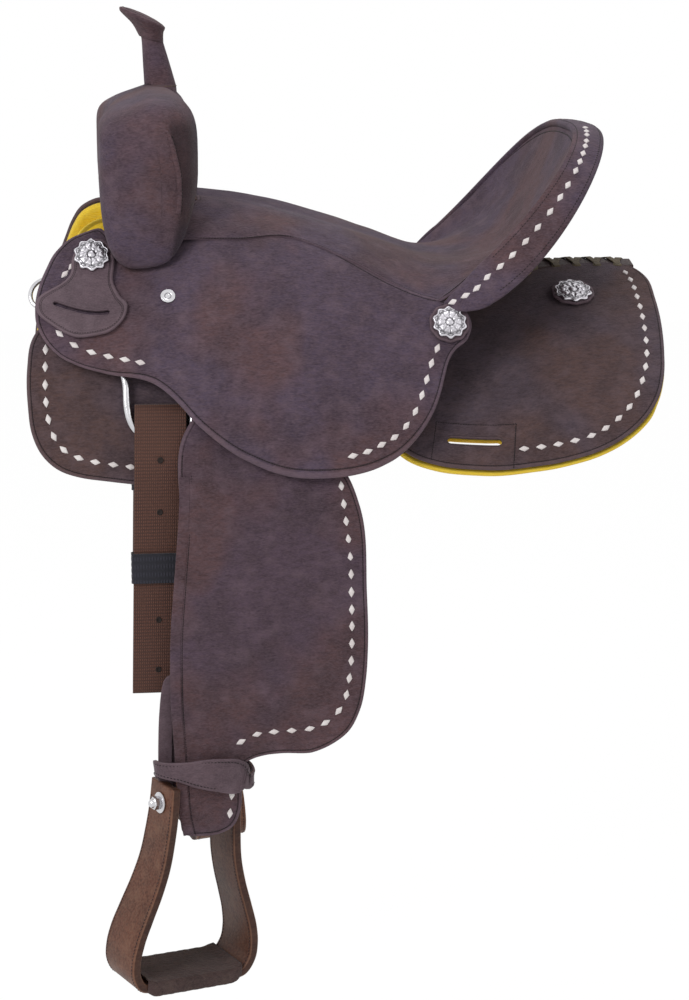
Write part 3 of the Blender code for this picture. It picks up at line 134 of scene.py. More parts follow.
# %% [markdown]
# ## Materials
# Almost the whole saddle is roughout leather: hide with its flesh side outwards. It has a
# short nap that scatters light at grazing angles, no polish, and a mottled colour where the
# nap lies different ways. A slow noise turns the purple brown towards warm brown, a quicker
# one darkens it in patches, and a millimetre noise is the nap. Cut edges are lighter and the
# stitch groove is darker, and both come from attributes that the panels carry. The same groove
# attribute also carries painted shade: the fork's rear face and the stirrups' inner and narrow
# faces are darkened through it.

# %% Colours and materials
def linear(code):
    """An sRGB hex colour as linear RGBA: dark values over 12.92, the rest to the power 2.4."""
    c = np.array([int(code[k:k + 2], 16) for k in (1, 3, 5)]) / 255
    c = np.where(c <= 0.04045, c / 12.92, ((c + 0.055) / 1.055) ** 2.4)
    return (*c.tolist(), 1.0)


def blank(name):
    """A new material with an empty tree."""
    made = bpy.data.materials.new(name)
    made.use_nodes = True
    made.node_tree.nodes.clear()
    return made, made.node_tree


def mixed(tree, factor, a, b):
    """Colour a turned towards colour b by the factor."""
    return add(tree, "Mix", {0: factor, 6: a, 7: b}, data_type="RGBA").outputs[2]


def marked(tree, name):
    """What an attribute of the piece says at a point."""
    return add(tree, "Attribute", attribute_name=name).outputs["Fac"]


def noise(tree, place, scale, low=0.35, high=0.65, detail=3.0):
    """A noise of the scale per metre, stretched so that low turns to 0 and high to 1."""
    made = add(tree, "TexNoise", {"Vector": place, "Scale": scale, "Detail": detail})
    spread_out = {"Value": made.outputs[0], "From Min": low, "From Max": high}
    return add(tree, "MapRange", spread_out).outputs[0]


def scaled(tree, value, factor):
    """The value times the factor."""
    return add(tree, "Math", {0: value, 1: factor}, operation="MULTIPLY").outputs[0]


def finish_material(tree, colour, bump_height, bump_distance, bump_strength, settings):
    """The shader with its colour, bump and constants, joined to the output."""
    bump = {"Height": bump_height, "Distance": bump_distance, "Strength": bump_strength}
    normal = add(tree, "Bump", bump).outputs[0]
    values = {"Base Color": colour, "Normal": normal, **settings}
    shader = add(tree, "BsdfPrincipled", values)
    add(tree, "OutputMaterial", {"Surface": shader.outputs[0]})


def hide(name, cool, warm, dark, edge, nap=900.0, rough=0.92, sheen=0.08, relief=0.0006):
    """Leather of two mixed colours with darker patches, a nap, light edges, and dark seams and
    painted shade from the groove attribute.

    The fibres lie along the hide: their noise is drawn out three times along X.
    """
    made, tree = blank(name)
    place = add(tree, "TexCoord").outputs["Object"]
    lying = add(tree, "Mapping", {"Vector": place, "Scale": (0.33, 1.0, 1.0)}).outputs[0]
    fibres = noise(tree, lying, nap, 0.3, 0.7, 4.0)
    colour = mixed(tree, noise(tree, place, 9.0, 0.45, 0.57), linear(cool), linear(warm))
    # Layers over it: patches, brushed nap, wear, fibres, seams and painted shade from the groove
    # attribute, and cut edges
    for source, share, tint in (
        (noise(tree, place, 26.0, 0.44, 0.66), 0.5, dark),
        (noise(tree, lying, 330.0, 0.38, 0.64, 6.0), 0.5, dark),
        (noise(tree, place, 60.0, 0.5, 0.72), 0.3, edge),
        (fibres, 0.4, edge),
        (marked(tree, "groove"), 0.55, "#1c1416"),
        (marked(tree, "edge"), 0.4, edge),
    ):
        colour = mixed(tree, scaled(tree, source, share), colour, linear(tint))
    settings = {"Roughness": rough, "Sheen Weight": sheen, "Sheen Roughness": 0.45,
                "Specular IOR Level": 0.25}
    finish_material(tree, colour, fibres, relief, 0.75, settings)
    return made


# Roughout hide of the fork, seat and jockeys, and the browner hide of the skirts
ROUGHOUT = hide("roughout_suede", "#514557", "#5f4546", "#32262d", "#7b6770")
SKIRT_HIDE = hide("roughout_skirting", "#50454f", "#5a4440", "#302629", "#705e63")
# The fender's hide, a little redder where the rider's legs have polished it
FENDER_HIDE = hide("roughout_fender", "#50404e", "#5a4041", "#2f2327", "#76626b", 1000.0, 0.84)
# Smooth leather of the stirrups, straps and latigo holder, waxed and nearly closed in grain
STRAP_HIDE = hide("strap_leather", "#5a4850", "#5e4b52", "#3e3037", "#7a6870",
                  1300.0, 0.55, 0.03, 0.0002)
STIRRUP_HIDE = hide("stirrup_leather", "#582d1f", "#643a2a", "#2c1610", "#8c6854",
                    420.0, 0.5, 0.0, 0.0002)
# Darker leather for the lace strip behind the cantle: partly its own dark tone, partly painted
# shade of the opening between the skirts
HIDDEN_HIDE = hide("latigo_leather", "#3b2d2e", "#40302f", "#271d1f", "#54423f",
                   700.0, 0.6, 0.1)
# Lining of pressed wool felt, yellow, with a fuzz of fibres
FELT = hide("yellow_wool_felt", "#fbd010", "#fdd61e", "#efb800", "#ffe35a",
            700.0, 0.98, 0.2, 0.0008)
LACE = hide("lace_leather_rawhide", "#5f5443", "#675a49", "#2c241b", "#85785f",
            600.0, 0.7, 0.05)
# White latigo lace of the buckstitching, worn slightly pink
BUCKSTITCH = hide("white_buckstitch_lace", "#efe6e6", "#f4eeec", "#cfc0c0", "#faf6f4",
                  800.0, 0.6, 0.1, 0.0002)
# Waxed thread, darker than the leather it sews
THREAD = hide("waxed_thread", "#1e1619", "#241b1d", "#120d0f", "#382c30",
              2500.0, 0.7, 0.1, 0.0001)
# Suede of the stirrup's tread, darker, and the nylon melted black round a burnt hole
TREAD_HIDE = hide("tread_suede", "#4a3939", "#4e3d3d", "#2d2323", "#66554f",
                  700.0, 0.95, 0.08, 0.0008)
BURNT = hide("burnt_nylon", "#1b1210", "#211613", "#0f0a09", "#2c1f1a",
             900.0, 0.5, 0.0, 0.0002)


def metal(name, base, tarnish, rough, brushed):
    """Metal with its own colour, darkened where tarnish stays in the engraving."""
    made, tree = blank(name)
    place = add(tree, "TexCoord").outputs["Object"]
    cloud = scaled(tree, noise(tree, place, 60.0, 0.4, 0.7), 0.25)
    colour = mixed(tree, cloud, linear(base), linear(tarnish))
    deep = marked(tree, "groove")
    colour = mixed(tree, deep, colour, linear(tarnish))
    scratches = noise(tree, place, brushed, 0.3, 0.7, 2.0)
    settings = {"Metallic": 1.0, "Roughness": rough}
    finish_material(tree, colour, scratches, 0.0001, 0.2, settings)
    return made


ANTIQUE_SILVER = metal("antique_silver", "#d6d3d9", "#17151a", 0.3, 700.0)
STEEL = metal("nickel_plated_steel", "#d4d3d6", "#57545a", 0.24, 900.0)


def woven(name, warp, weft, rib, rows, cross, rough):
    """Woven tape: ribs run across it, with a finer thread along; the UV map is in metres."""
    made, tree = blank(name)
    place = add(tree, "UVMap").outputs[0]
    across = add(tree, "TexWave", {"Vector": place, "Scale": rows, "Distortion": 0.6,
                                   "Detail Scale": 4.0}, bands_direction="Y").outputs["Fac"]
    along = add(tree, "TexWave", {"Vector": place, "Scale": cross},
                bands_direction="X").outputs["Fac"]
    threads = add(tree, "Math", {0: across, 1: along}, operation="MULTIPLY").outputs[0]
    colour = mixed(tree, threads, linear(weft), linear(warp))
    solid = add(tree, "TexCoord").outputs["Object"]
    colour = mixed(tree, scaled(tree, noise(tree, solid, 24.0), 0.45), colour, linear(rib))
    worn = scaled(tree, noise(tree, solid, 700.0, 0.5, 0.9), 0.35)
    colour = mixed(tree, worn, colour, linear(warp))
    groove = marked(tree, "groove")
    colour = mixed(tree, groove, colour, linear("#140d0a"))
    finish_material(tree, colour, threads, 0.0006, 0.8, {"Roughness": rough, "Sheen Weight": 0.12})
    return made


# Nylon webbing of the cinch strap, with ribs about 3 mm apart and threads 2 mm apart, and the
# keeper's navy elastic, with ribs 8 mm apart
WEBBING = woven("brown_nylon_webbing", "#74493a", "#3a2018", "#4e3024", 96.0, 150.0, 0.78)
ELASTIC = woven("navy_elastic", "#34333f", "#14141c", "#24232e", 40.0, 110.0, 0.85)


def plain_core(name, base, dark, scale, rough):
    """A hidden material of the tree or padding, with a slow mottling and a fine grain."""
    made, tree = blank(name)
    place = add(tree, "TexCoord").outputs["Object"]
    colour = mixed(tree, noise(tree, place, scale), linear(base), linear(dark))
    grain = noise(tree, place, scale * 12, 0.3, 0.7)
    finish_material(tree, colour, grain, 0.0005, 0.4, {"Roughness": rough})
    return made


# The tree is wood under a skin of fibreglass
TREE = plain_core("fibreglass_over_wood", "#8a765c", "#6d5a42", 40.0, 0.45)
print(len(bpy.data.materials), "materials")

# %% [markdown]
# ## The surfaces everything lies on
# A saddle is leather laid over three forms: the horse's back under the skirts, the curved
# side under the jockeys and the dished seat between fork and cantle. Each form is a function
# of two measures, so a panel can be cut flat, as a saddler cuts it, and then be laid on its
# form at any height. Sizes are in millimetres and are turned into metres in the mesh.

# %% Leather thicknesses and the horse's back
LINING = 8.0
SKIRT = 4.6
JOCKEY = 4.2
SEAT_LEATHER = 3.2
FENDER = 5.0
STRAP = 3.5
SKIRT_LIFT = LINING + 1.6
SKIRT_TOP = SKIRT_LIFT + SKIRT

# The horse's back: place along X, ridge height, lean at the ridge in degrees and
# further lean in degrees for each millimetre down the side
BACK = (
    (-340, 118, 35, 0.130),
    (-250, 126, 34, 0.132),
    (-160, 94, 31, 0.136),
    (-60, 34, 27, 0.141),
    (40, -11, 20, 0.158),
    (120, -20, 14, 0.176),
    (215, -7, 10, 0.190),
    (310, -7, 9, 0.192),
)

# The seat's side, front to back: place along X, then the four control points
# (distance from the middle, height) of the curve that runs down from the middle
SEAT_SIDE = (
    (-160, ((0, 74), (105, 96), (178, 32), (236, -155))),
    (-66, ((0, 68), (115, 76), (192, 38), (240, -187))),
    (0, ((0, 53), (120, 58), (195, 20), (243, -190))),
    (70, ((0, 34), (124, 44), (194, 14), (225, -168))),
    (130, ((0, 34), (124, 44), (190, 14), (214, -140))),
)
FRONT_JOCKEY = ((-335, 112, 300, 23.5, 28), (-250, 112, 340, 24.5, 35.5))

# The seat's top, from the fork to the cantle: five points from the middle to the seam
SEAT_ROWS = (
    ((-157.5, 0, 79), (-157.5, 32, 83), (-157.5, 66, 82), (-158.5, 98, 71), (-166, 125, 48)),
    ((-113, 0, 73), (-113, 34, 77), (-113, 70, 75), (-113, 103, 64), (-113, 128, 47)),
    ((-68, 0, 63), (-68, 36, 66.5), (-68, 72, 66), (-68, 100, 58.5), (-68, 120, 47.2)),
    ((-9, 0, 46), (-9, 38, 49), (-9, 76, 48.5), (-9, 110, 39), (-9, 135.5, 24.5)),
    ((30, 0, 33), (30, 40, 36), (30, 80, 35), (30, 122, 22), (30, 152.5, 4.2)),
    ((98, 0, 13), (96, 42, 15), (88, 85, 16), (77, 128, 7), (66, 163, -9)),
    ((161, 0, 28), (158, 45, 28), (147, 90, 28), (126, 134, 16), (84, 167, -5)),
    ((201, 0, 78), (198, 45, 74), (189, 90, 66), (172, 130, 54), (146, 161, 47)),
)

# The cantle: the seat's seam and the roll's outer edge, each an oval arc in a
# slanted plane, from the middle (angle 0) to the side (angle 90); the powers
# shape the arc along X, across and in height
CANTLE_SEAM = dict(width=168, foot=(82, -6), top=(234, 150), powers=(0.50, 0.66, 0.62))
CANTLE_RIM = dict(width=188, foot=(97, -22), top=(260, 148), powers=(0.62, 0.58, 1.04))


def cubic(f, step, low, low_slope, high, high_slope):
    """The cubic between two values with given slopes, at the part f of the step."""
    start = (2 * f**3 - 3 * f**2 + 1) * low + (f**3 - 2 * f**2 + f) * step * low_slope
    end = (3 * f**2 - 2 * f**3) * high + (f**3 - f**2) * step * high_slope
    return start + end


def smooth_table(stations, rows, at):
    """Values at places `at` on a smooth curve through the rows at the stations."""
    stations = np.asarray(stations, float)
    rows = np.asarray(rows, float)
    slope = np.gradient(rows, stations, axis=0)
    at = np.clip(np.atleast_1d(at), stations[0], stations[-1])
    k = np.clip(np.searchsorted(stations, at, side="right") - 1, 0, len(stations) - 2)
    shape = (len(at),) + (1,) * (rows.ndim - 1)
    step = (stations[k + 1] - stations[k]).reshape(shape)
    f = ((at - stations[k]) / (stations[k + 1] - stations[k])).reshape(shape)
    return cubic(f, step, rows[k], slope[k], rows[k + 1], slope[k + 1])


def spread(*values):
    """The values as flat arrays of one length."""
    arrays = np.broadcast_arrays(*[np.atleast_1d(np.asarray(v, float)) for v in values])
    return [a.ravel() for a in arrays]


def ramp(amount, over):
    """Rises straight from 0, where the amount is nothing, to 1, where it is `over`."""
    return np.clip(amount / over, 0, 1)


def back_surface(x, s, lift=0.0):
    """Points a distance s down the horse's side from the ridge, raised by lift."""
    x, s, lift = spread(x, s, lift)
    table = np.array(BACK, float)
    ridge, lean, bend = smooth_table(table[:, 0], table[:, 1:], x).T
    first = np.radians(lean)
    bend = np.radians(bend)
    angle = first + bend * s
    y = (np.sin(angle) - np.sin(first)) / bend + lift * np.sin(angle)
    z = ridge - (np.cos(first) - np.cos(angle)) / bend + lift * np.cos(angle)
    return np.stack([x, -y, z], -1)


def front_controls(x, s_top, s_low, lift_top, lift_low):
    """The seat side's control points ahead of the fork, where it lies on the skirt."""
    top, low = back_surface(x, (s_top, s_low), (lift_top, lift_low))
    after = back_surface(x, s_top + 1, lift_top)[0] - top
    before = back_surface(x, s_low - 1, lift_low)[0] - low
    reach = 0.34 * np.linalg.norm(low - top)
    after *= reach / np.linalg.norm(after)
    before *= reach / np.linalg.norm(before)
    points = np.array([top, top + after, low + before, low])[:, 1:]
    return points * (-1, 1)


def seat_side_table():
    """Stations along X and the seat side's control points there."""
    front = [(row[0], front_controls(*row)) for row in FRONT_JOCKEY]
    rows = front + [(x, np.array(points, float)) for x, points in SEAT_SIDE]
    return np.array([r[0] for r in rows], float), np.array([r[1] for r in rows])


SIDE_STATIONS, SIDE_CONTROLS = seat_side_table()


def side_surface(x, t, lift=0.0):
    """Points on the seat's side, t from 0 in the middle to 1 at the foot."""
    x, t, lift = spread(x, t, lift)
    c = smooth_table(SIDE_STATIONS, SIDE_CONTROLS, x)
    f = t[:, None]
    point = (1 - f) ** 3 * c[:, 0] + 3 * f * (1 - f) ** 2 * c[:, 1]
    point = point + 3 * f**2 * (1 - f) * c[:, 2] + f**3 * c[:, 3]
    along = (1 - f) ** 2 * (c[:, 1] - c[:, 0]) + 2 * f * (1 - f) * (c[:, 2] - c[:, 1])
    along = along + f**2 * (c[:, 3] - c[:, 2])
    along /= np.linalg.norm(along, axis=1)[:, None]
    outward = np.stack([-along[:, 1], along[:, 0]], -1)
    point = point + outward * lift[:, None]
    return np.stack([x, -point[:, 0], point[:, 1]], -1)


def height_over(surface, x, y, reach, lift):
    """The surface's height at plan points (x, y), y counted outwards."""
    x, y = spread(x, y)
    steps = np.linspace(0, reach, 160)
    lines = surface(np.repeat(x, 160), np.tile(steps, len(x)), lift).reshape(len(x), 160, 3)
    k = np.clip((-lines[:, :, 1] < y[:, None]).sum(1), 1, 159)
    n = np.arange(len(x))
    low, high = lines[n, k - 1], lines[n, k]
    f = np.clip((y + low[:, 1]) / (low[:, 1] - high[:, 1]), 0, 1)
    return low[:, 2] + (high[:, 2] - low[:, 2]) * f


def cantle_line(angle, width, foot, top, powers):
    """Points on a cantle oval; the angle is negative on the far side."""
    angle = np.asarray(angle, float)
    c, s = np.abs(np.cos(angle)), np.sin(angle)
    x = foot[0] + (top[0] - foot[0]) * c ** powers[0]
    y = -width * np.sign(s) * np.abs(s) ** powers[1]
    z = foot[1] + (top[1] - foot[1]) * c ** powers[2]
    return np.stack([x, y, z], -1)


SEAT_END = (0, 9, 26, 45, 66)


def seat_net():
    """Control points over the whole seat, near seam to far seam, fork to cantle."""
    last = [cantle_line(radians(a), **CANTLE_SEAM) for a in SEAT_END]
    rows = [np.array(row, float) * (1, -1, 1) for row in SEAT_ROWS] + [np.array(last)]
    net = [np.concatenate([row[:0:-1], row * (1, -1, 1)]) for row in rows]
    return np.array(net)


SEAT_NET = seat_net()


def seat_top(u, v, lift=0.0):
    """Points on the seat: u from 0 at the fork to 1 at the cantle, v from -1 to 1."""
    u, v, lift = spread(u, v, lift)

    def at(uu, vv):
        rows = smooth_table(np.linspace(0, 1, len(SEAT_NET)), SEAT_NET, uu)
        knots = np.linspace(-1, 1, SEAT_NET.shape[1])
        slope = np.gradient(rows, knots, axis=1)
        vv = np.clip(vv, -1, 1)
        k = np.clip(((vv + 1) / 2 * (len(knots) - 1)).astype(int), 0, len(knots) - 2)
        n = np.arange(len(vv))
        step = knots[1] - knots[0]
        f = ((vv - knots[k]) / step)[:, None]
        point = cubic(f, step, rows[n, k], slope[n, k], rows[n, k + 1], slope[n, k + 1])
        end_angle = np.radians(np.interp(np.abs(vv), np.linspace(0, 1, 5), SEAT_END))
        seam = cantle_line(end_angle * np.sign(-vv), **CANTLE_SEAM)
        rise = np.clip(uu * 8 - 7, 0, 1)[:, None] ** 2
        return point + rise * (seam - at_end(vv))

    def at_end(vv):
        knots = np.linspace(-1, 1, SEAT_NET.shape[1])
        return smooth_table(knots, SEAT_NET[-1], vv)

    e = 0.002
    ahead = at(np.minimum(u + e, 1), v) - at(np.maximum(u - e, 0), v)
    aside = at(u, np.minimum(v + e, 1)) - at(u, np.maximum(v - e, -1))
    normal = np.cross(ahead, aside)
    normal /= np.linalg.norm(normal, axis=1)[:, None]
    return at(u, v) + normal * lift[:, None]


print("ridge heights", back_surface((-300, 0, 300), 0)[:, 2].round(1))

# %% [markdown]
# ## Making pieces
# Every piece is worked out whole as arrays. A panel starts as a flat outline: the outline is
# smoothed, stepped inwards to give the rounded edge and the stitch groove, and filled with a
# net of triangles. Round and strap like pieces are loops carried along a path. The far side
# is the near side mirrored, so every shape is written once, for the near side.

# %% Mesh helpers
def piece(name, points, faces, look, body, side=NEAR, uv=None, nodes=(), **marks):
    """A finished piece from near side points in millimetres, riding on its body.

    The marks are numbers for each point, kept as attributes of the same name. A far piece
    is mirrored in Y and its faces are turned round.
    """
    points = np.asarray(points, float) * (1, -side, 1) * MM
    blocks = [np.asarray(block)[:, ::side * -1] for block in faces]
    mesh = bpy.data.meshes.new(name)
    mesh.from_pydata(points.tolist(), [], [face for block in blocks for face in block.tolist()])
    for mark, values in marks.items():
        layer = mesh.attributes.new(mark, "FLOAT", "POINT")
        layer.data.foreach_set("value", np.asarray(values, np.float32))
    if uv is not None:
        corner = np.empty(len(mesh.loops), np.int32)
        mesh.loops.foreach_get("vertex_index", corner)
        layer = mesh.uv_layers.new(name="UVMap")
        layer.data.foreach_set("uv", (np.asarray(uv)[corner] * MM).astype(np.float32).ravel())
    mesh.shade_smooth()
    mesh.materials.append(look)
    obj = bpy.data.objects.new(name, mesh)
    scene.collection.objects.link(obj)
    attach(obj, body)
    if nodes:
        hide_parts(*nodes)
    return obj


def lengths(line):
    """How far along the line each of its points is."""
    return np.concatenate([[0], np.cumsum(np.linalg.norm(np.diff(line, axis=0), axis=1))])


def units(vectors):
    """The vectors brought to length 1."""
    return vectors / np.linalg.norm(vectors, axis=1)[:, None]


def eased(line, times=1):
    """A ring of numbers or points, each drawn towards the mean of its neighbours."""
    for _ in range(times):
        line = 0.5 * line + 0.25 * (np.roll(line, 1, 0) + np.roll(line, -1, 0))
    return line


def closed_curve(points, spacing=3.0):
    """A smooth closed line through the points, sampled at an even spacing, anticlockwise.

    Between two neighbours it is a cubic whose slopes come from the points either side.
    """
    p = np.asarray(points, float)
    turn = np.sum(p[:, 0] * np.roll(p[:, 1], -1) - np.roll(p[:, 0], -1) * p[:, 1])
    p = p[::-1] if turn < 0 else p
    ring = np.concatenate([p[-3:], p, p[:4]])
    length = lengths(ring)
    first, last = length[3], length[3 + len(p)]
    fine = smooth_table(length, ring, np.linspace(first, last, 40 * len(p) + 1))
    return evenly(fine, spacing)[:-1]


def evenly(line, spacing):
    """The line resampled in equal steps close to the spacing, both ends kept."""
    length = lengths(line)
    count = max(int(round(length[-1] / spacing)), 2)
    at = np.linspace(0, length[-1], count + 1)
    return np.stack([np.interp(at, length, line[:, k]) for k in range(line.shape[1])], -1)


def stepped_in(loop, depth):
    """A closed loop moved to its left by the depth, in short steps with a light smoothing."""
    count = max(int(np.ceil(abs(depth) / 1.2)), 1)
    for _ in range(count):
        ahead = np.roll(loop, -1, 0) - np.roll(loop, 1, 0)
        ahead /= np.maximum(np.linalg.norm(ahead, axis=1), 1e-9)[:, None]
        loop = loop + np.stack([-ahead[:, 1], ahead[:, 0]], -1) * depth / count
        if depth > 1.5:
            loop = eased(loop)
    return loop


def inside(points, loop):
    """Whether each point is in the loop: a ray to the right crosses it an odd number of times."""
    a, b = loop, np.roll(loop, -1, 0)
    rise = np.where(b[:, 1] == a[:, 1], 1e-9, b[:, 1] - a[:, 1])
    x, y = points[:, :1], points[:, 1:2]
    crosses = (a[:, 1] > y) != (b[:, 1] > y)
    return (crosses & (x < a[:, 0] + (y - a[:, 1]) / rise * (b[:, 0] - a[:, 0]))).sum(1) % 2 == 1


SHEET_INSET = 7.0
GROOVE_INSET = 3.8
# A net's rows stand this part of its spacing apart, so that its triangles have equal sides
ROW_STEP = 0.87


def cut_out(outline, holes=(), net=6.0, inset=SHEET_INSET):
    """A flat panel: its edge loops, and a net of triangles inside them.

    The outline runs anticlockwise and each hole clockwise, so that the leather is always
    on the left. The net's first points are the loops stepped in by the inset.
    """
    loops = [closed_curve(outline)] + [closed_curve(hole, 2.0)[::-1] for hole in holes]
    inner = [stepped_in(loop, inset if k == 0 else inset * 0.5) for k, loop in enumerate(loops)]
    low, high = inner[0].min(0), inner[0].max(0)
    rows = np.arange(low[1], high[1], net * ROW_STEP)
    across, up = np.meshgrid(np.arange(low[0], high[0], net), rows)
    across = across + (np.arange(len(across)) % 2)[:, None] * net / 2
    grid = np.stack([across.ravel(), up.ravel()], -1)
    grid = grid[inside(grid, inner[0])]
    for loop in inner[1:]:
        grid = grid[~inside(grid, loop)]
    border = np.concatenate(inner)
    gap = np.array([np.min(np.sum((border - p) ** 2, 1)) for p in grid])
    points = np.concatenate([border, grid[gap > (0.55 * net) ** 2]])
    edges, start = [], 0
    for loop in inner:
        k = np.arange(len(loop))
        edges += np.stack([start + k, start + np.roll(k, -1)], -1).tolist()
        start += len(loop)
    found = delaunay_2d_cdt([Vector(p) for p in points], edges, [], 1, 1e-5)
    origin = np.array([o[0] if o else -1 for o in found[3]])
    faces = origin[np.array(found[2])]
    faces = faces[(faces >= 0).all(1)]
    for loop in inner[1:]:
        faces = faces[~inside(points[faces].mean(1), loop)]
    a, b, c = (points[faces[:, k]] for k in range(3))
    turn = (b[:, 0] - a[:, 0]) * (c[:, 1] - a[:, 1]) - (b[:, 1] - a[:, 1]) * (c[:, 0] - a[:, 0])
    faces[turn < 0] = faces[turn < 0][:, ::-1]
    return {"loops": loops, "points": points, "faces": faces, "inset": inset}


def waves(u, v, size):
    """A gentle unevenness of the leather: three sines across one another."""
    wave = np.sin(u * 0.043 + v * 0.017) + np.sin(v * 0.051 - u * 0.023 + 1.3)
    return size * (wave + 0.6 * np.sin(u * 0.11 + v * 0.083 + 0.4)) / 2.6


def panel(name, flat, place, thickness, look, body, side=NEAR, nodes=(), uneven=0.5, groove=0.55):
    """A flat panel laid on its surface, with rounded edges and a sewn groove near them.

    place(u, v, height) gives points at a height over the panel's under face. The edge is a
    half circle from the top, over the outline, to the under face.
    """
    r = min(thickness / 2, 2.2)
    turn = np.linspace(0, pi, 7)
    edge_rows = [(r * (1 - sin(t)), thickness * (1 + cos(t)) / 2, 1.0) for t in turn]
    inset = flat["inset"]
    rows = [(0.86 * inset, thickness, 0), (GROOVE_INSET + 0.7, thickness, 0),
            (GROOVE_INSET, thickness - groove, 0), (GROOVE_INSET - 0.7, thickness, 0)]
    rows = [row for row in rows if row[0] < inset * 0.9] + edge_rows
    top, count = flat["points"], len(flat["points"])
    lift = thickness + waves(top[:, 0], top[:, 1], uneven)
    border = sum(len(loop) for loop in flat["loops"])
    lift[:border] = thickness
    plan, heights = [top, top], [lift, np.zeros(count)]
    edge, sewn = [np.zeros(2 * count)], [np.zeros(2 * count)]
    faces = [flat["faces"], flat["faces"][:, ::-1] + count]
    first, start = 0, 2 * count
    for number, loop in enumerate(flat["loops"]):
        n = len(loop)
        share = 1.0 if number == 0 else 0.5
        index = [first + np.arange(n)]
        for depth, height, rim in rows:
            plan.append(stepped_in(loop, depth * share))
            heights.append(np.full(n, height))
            edge.append(np.full(n, rim))
            sewn.append(np.full(n, 1.0 if height == thickness - groove else 0.0))
            index.append(start + np.arange(n))
            start += n
        index.append(count + first + np.arange(n))
        a, b = np.array(index[:-1]), np.array(index[1:])
        quads = np.stack([b, np.roll(b, -1, 1), np.roll(a, -1, 1), a], -1)
        faces.append(quads.reshape(-1, 4))
        first += n
    plan, heights = np.concatenate(plan), np.concatenate(heights)
    points = place(plan[:, 0], plan[:, 1], heights)
    faces = outward(points, faces, top, place, thickness)
    return piece(name, points, faces, look, body, side, plan, nodes,
                 edge=np.concatenate(edge), groove=np.concatenate(sewn))


def outward(points, faces, top, place, thickness):
    """The faces turned round if the panel's top looks away from where its height rises."""
    tri = faces[0]
    a, b, c = (points[tri[:, k]] for k in range(3))
    rise = place(top[:, 0], top[:, 1], np.full(len(top), thickness + 1.0)) - points[:len(top)]
    looks = np.sum(np.cross(b - a, c - a) * rise[tri[:, 0]])
    return faces if looks > 0 else [block[:, ::-1] for block in faces]


def loft(name, loops, look, body, side=NEAR, nodes=(), ring=False, uv=None, **marks):
    """A closed skin over loops of equal count, its ends closed by fans unless it is a ring."""
    loops = np.asarray(loops, float)
    rows, n = loops.shape[:2]
    points = loops.reshape(-1, 3)
    grid = np.arange(rows * n).reshape(rows, n)
    a = grid if ring else grid[:-1]
    b = np.roll(grid, -1, 0) if ring else grid[1:]
    faces = [np.stack([a, np.roll(a, -1, 1), np.roll(b, -1, 1), b], -1).reshape(-1, 4)]
    if not ring:
        points = np.concatenate([points, loops[:1].mean(1), loops[-1:].mean(1)])
        first = np.stack([np.roll(grid[0], -1), grid[0], np.full(n, rows * n)], -1)
        last = np.stack([grid[-1], np.roll(grid[-1], -1), np.full(n, rows * n + 1)], -1)
        faces += [first, last]
        ends = (0, n * (rows - 1))
        marks = {key: np.concatenate([v, [v[e] for e in ends]]) for key, v in marks.items()}
        if uv is not None:
            uv = np.concatenate([uv, [uv[e] for e in ends]])
    faces = faces if volume(points, faces) > 0 else [block[:, ::-1] for block in faces]
    return piece(name, points, faces, look, body, side, uv, nodes, **marks)


def volume(points, faces):
    """The volume inside the faces, counted over the triangles of each face."""
    total = 0.0
    for block in faces:
        a = points[block[:, 0]]
        for k in range(1, block.shape[1] - 1):
            total += np.sum(a * np.cross(points[block[:, k]], points[block[:, k + 1]]))
    return total


def wall(outer, inner):
    """Loops of a tube's wall: along the outside, over the rim and back along the inside."""
    outer, inner = np.asarray(outer, float), np.asarray(inner, float)
    rims = [0.5 * (outer[k] + inner[k]) for k in (-1, 0)]
    return np.concatenate([outer, [rims[0]], inner[::-1], [rims[1]]])


def sweep(path, normals, profile, ring=False):
    """Loops of a profile of (across, out) pairs carried along a path.

    At each point the profile's first measure runs across the path and its second along
    the normal, and the profile may be given anew for each point.
    """
    path, normals = np.asarray(path, float), np.asarray(normals, float)
    if ring:
        ahead = np.roll(path, -1, 0) - np.roll(path, 1, 0)
    else:
        ahead = np.gradient(path, axis=0)
    ahead = units(ahead)
    across = units(np.cross(ahead, normals))
    out = np.cross(across, ahead)
    profile = np.broadcast_to(profile, (len(path),) + np.shape(profile)[-2:])
    return path[:, None] + across[:, None] * profile[..., :1] + out[:, None] * profile[..., 1:]


def rounded(half, thick, corner, per=5):
    """A rectangle's outline with rounded corners, from 2 half wide by thick high."""
    corner = min(corner, thick / 2 - 0.01)
    turn = np.linspace(0, pi / 2, per)
    arc = np.stack([np.cos(turn), np.sin(turn)], -1) * corner
    at = np.array([(half - corner, thick / 2 - corner)])
    quarter = arc + at
    return np.concatenate([quarter, quarter[::-1] * (-1, 1), -quarter, quarter[::-1] * (1, -1)])


def circle(radius, count):
    """Points round a circle."""
    turn = np.arange(count) * 2 * pi / count
    return np.stack([np.cos(turn), np.sin(turn)], -1) * radius


def strap_rows(rows, step=3.0):
    """Rows of points across a strap made dense along it, smooth through the given rows."""
    rows = np.asarray(rows, float)
    middle = rows[:, rows.shape[1] // 2]
    length = lengths(middle)
    count = int(length[-1] / step) + 2
    at = np.linspace(0, length[-1], count)
    return smooth_table(length, rows, at), at


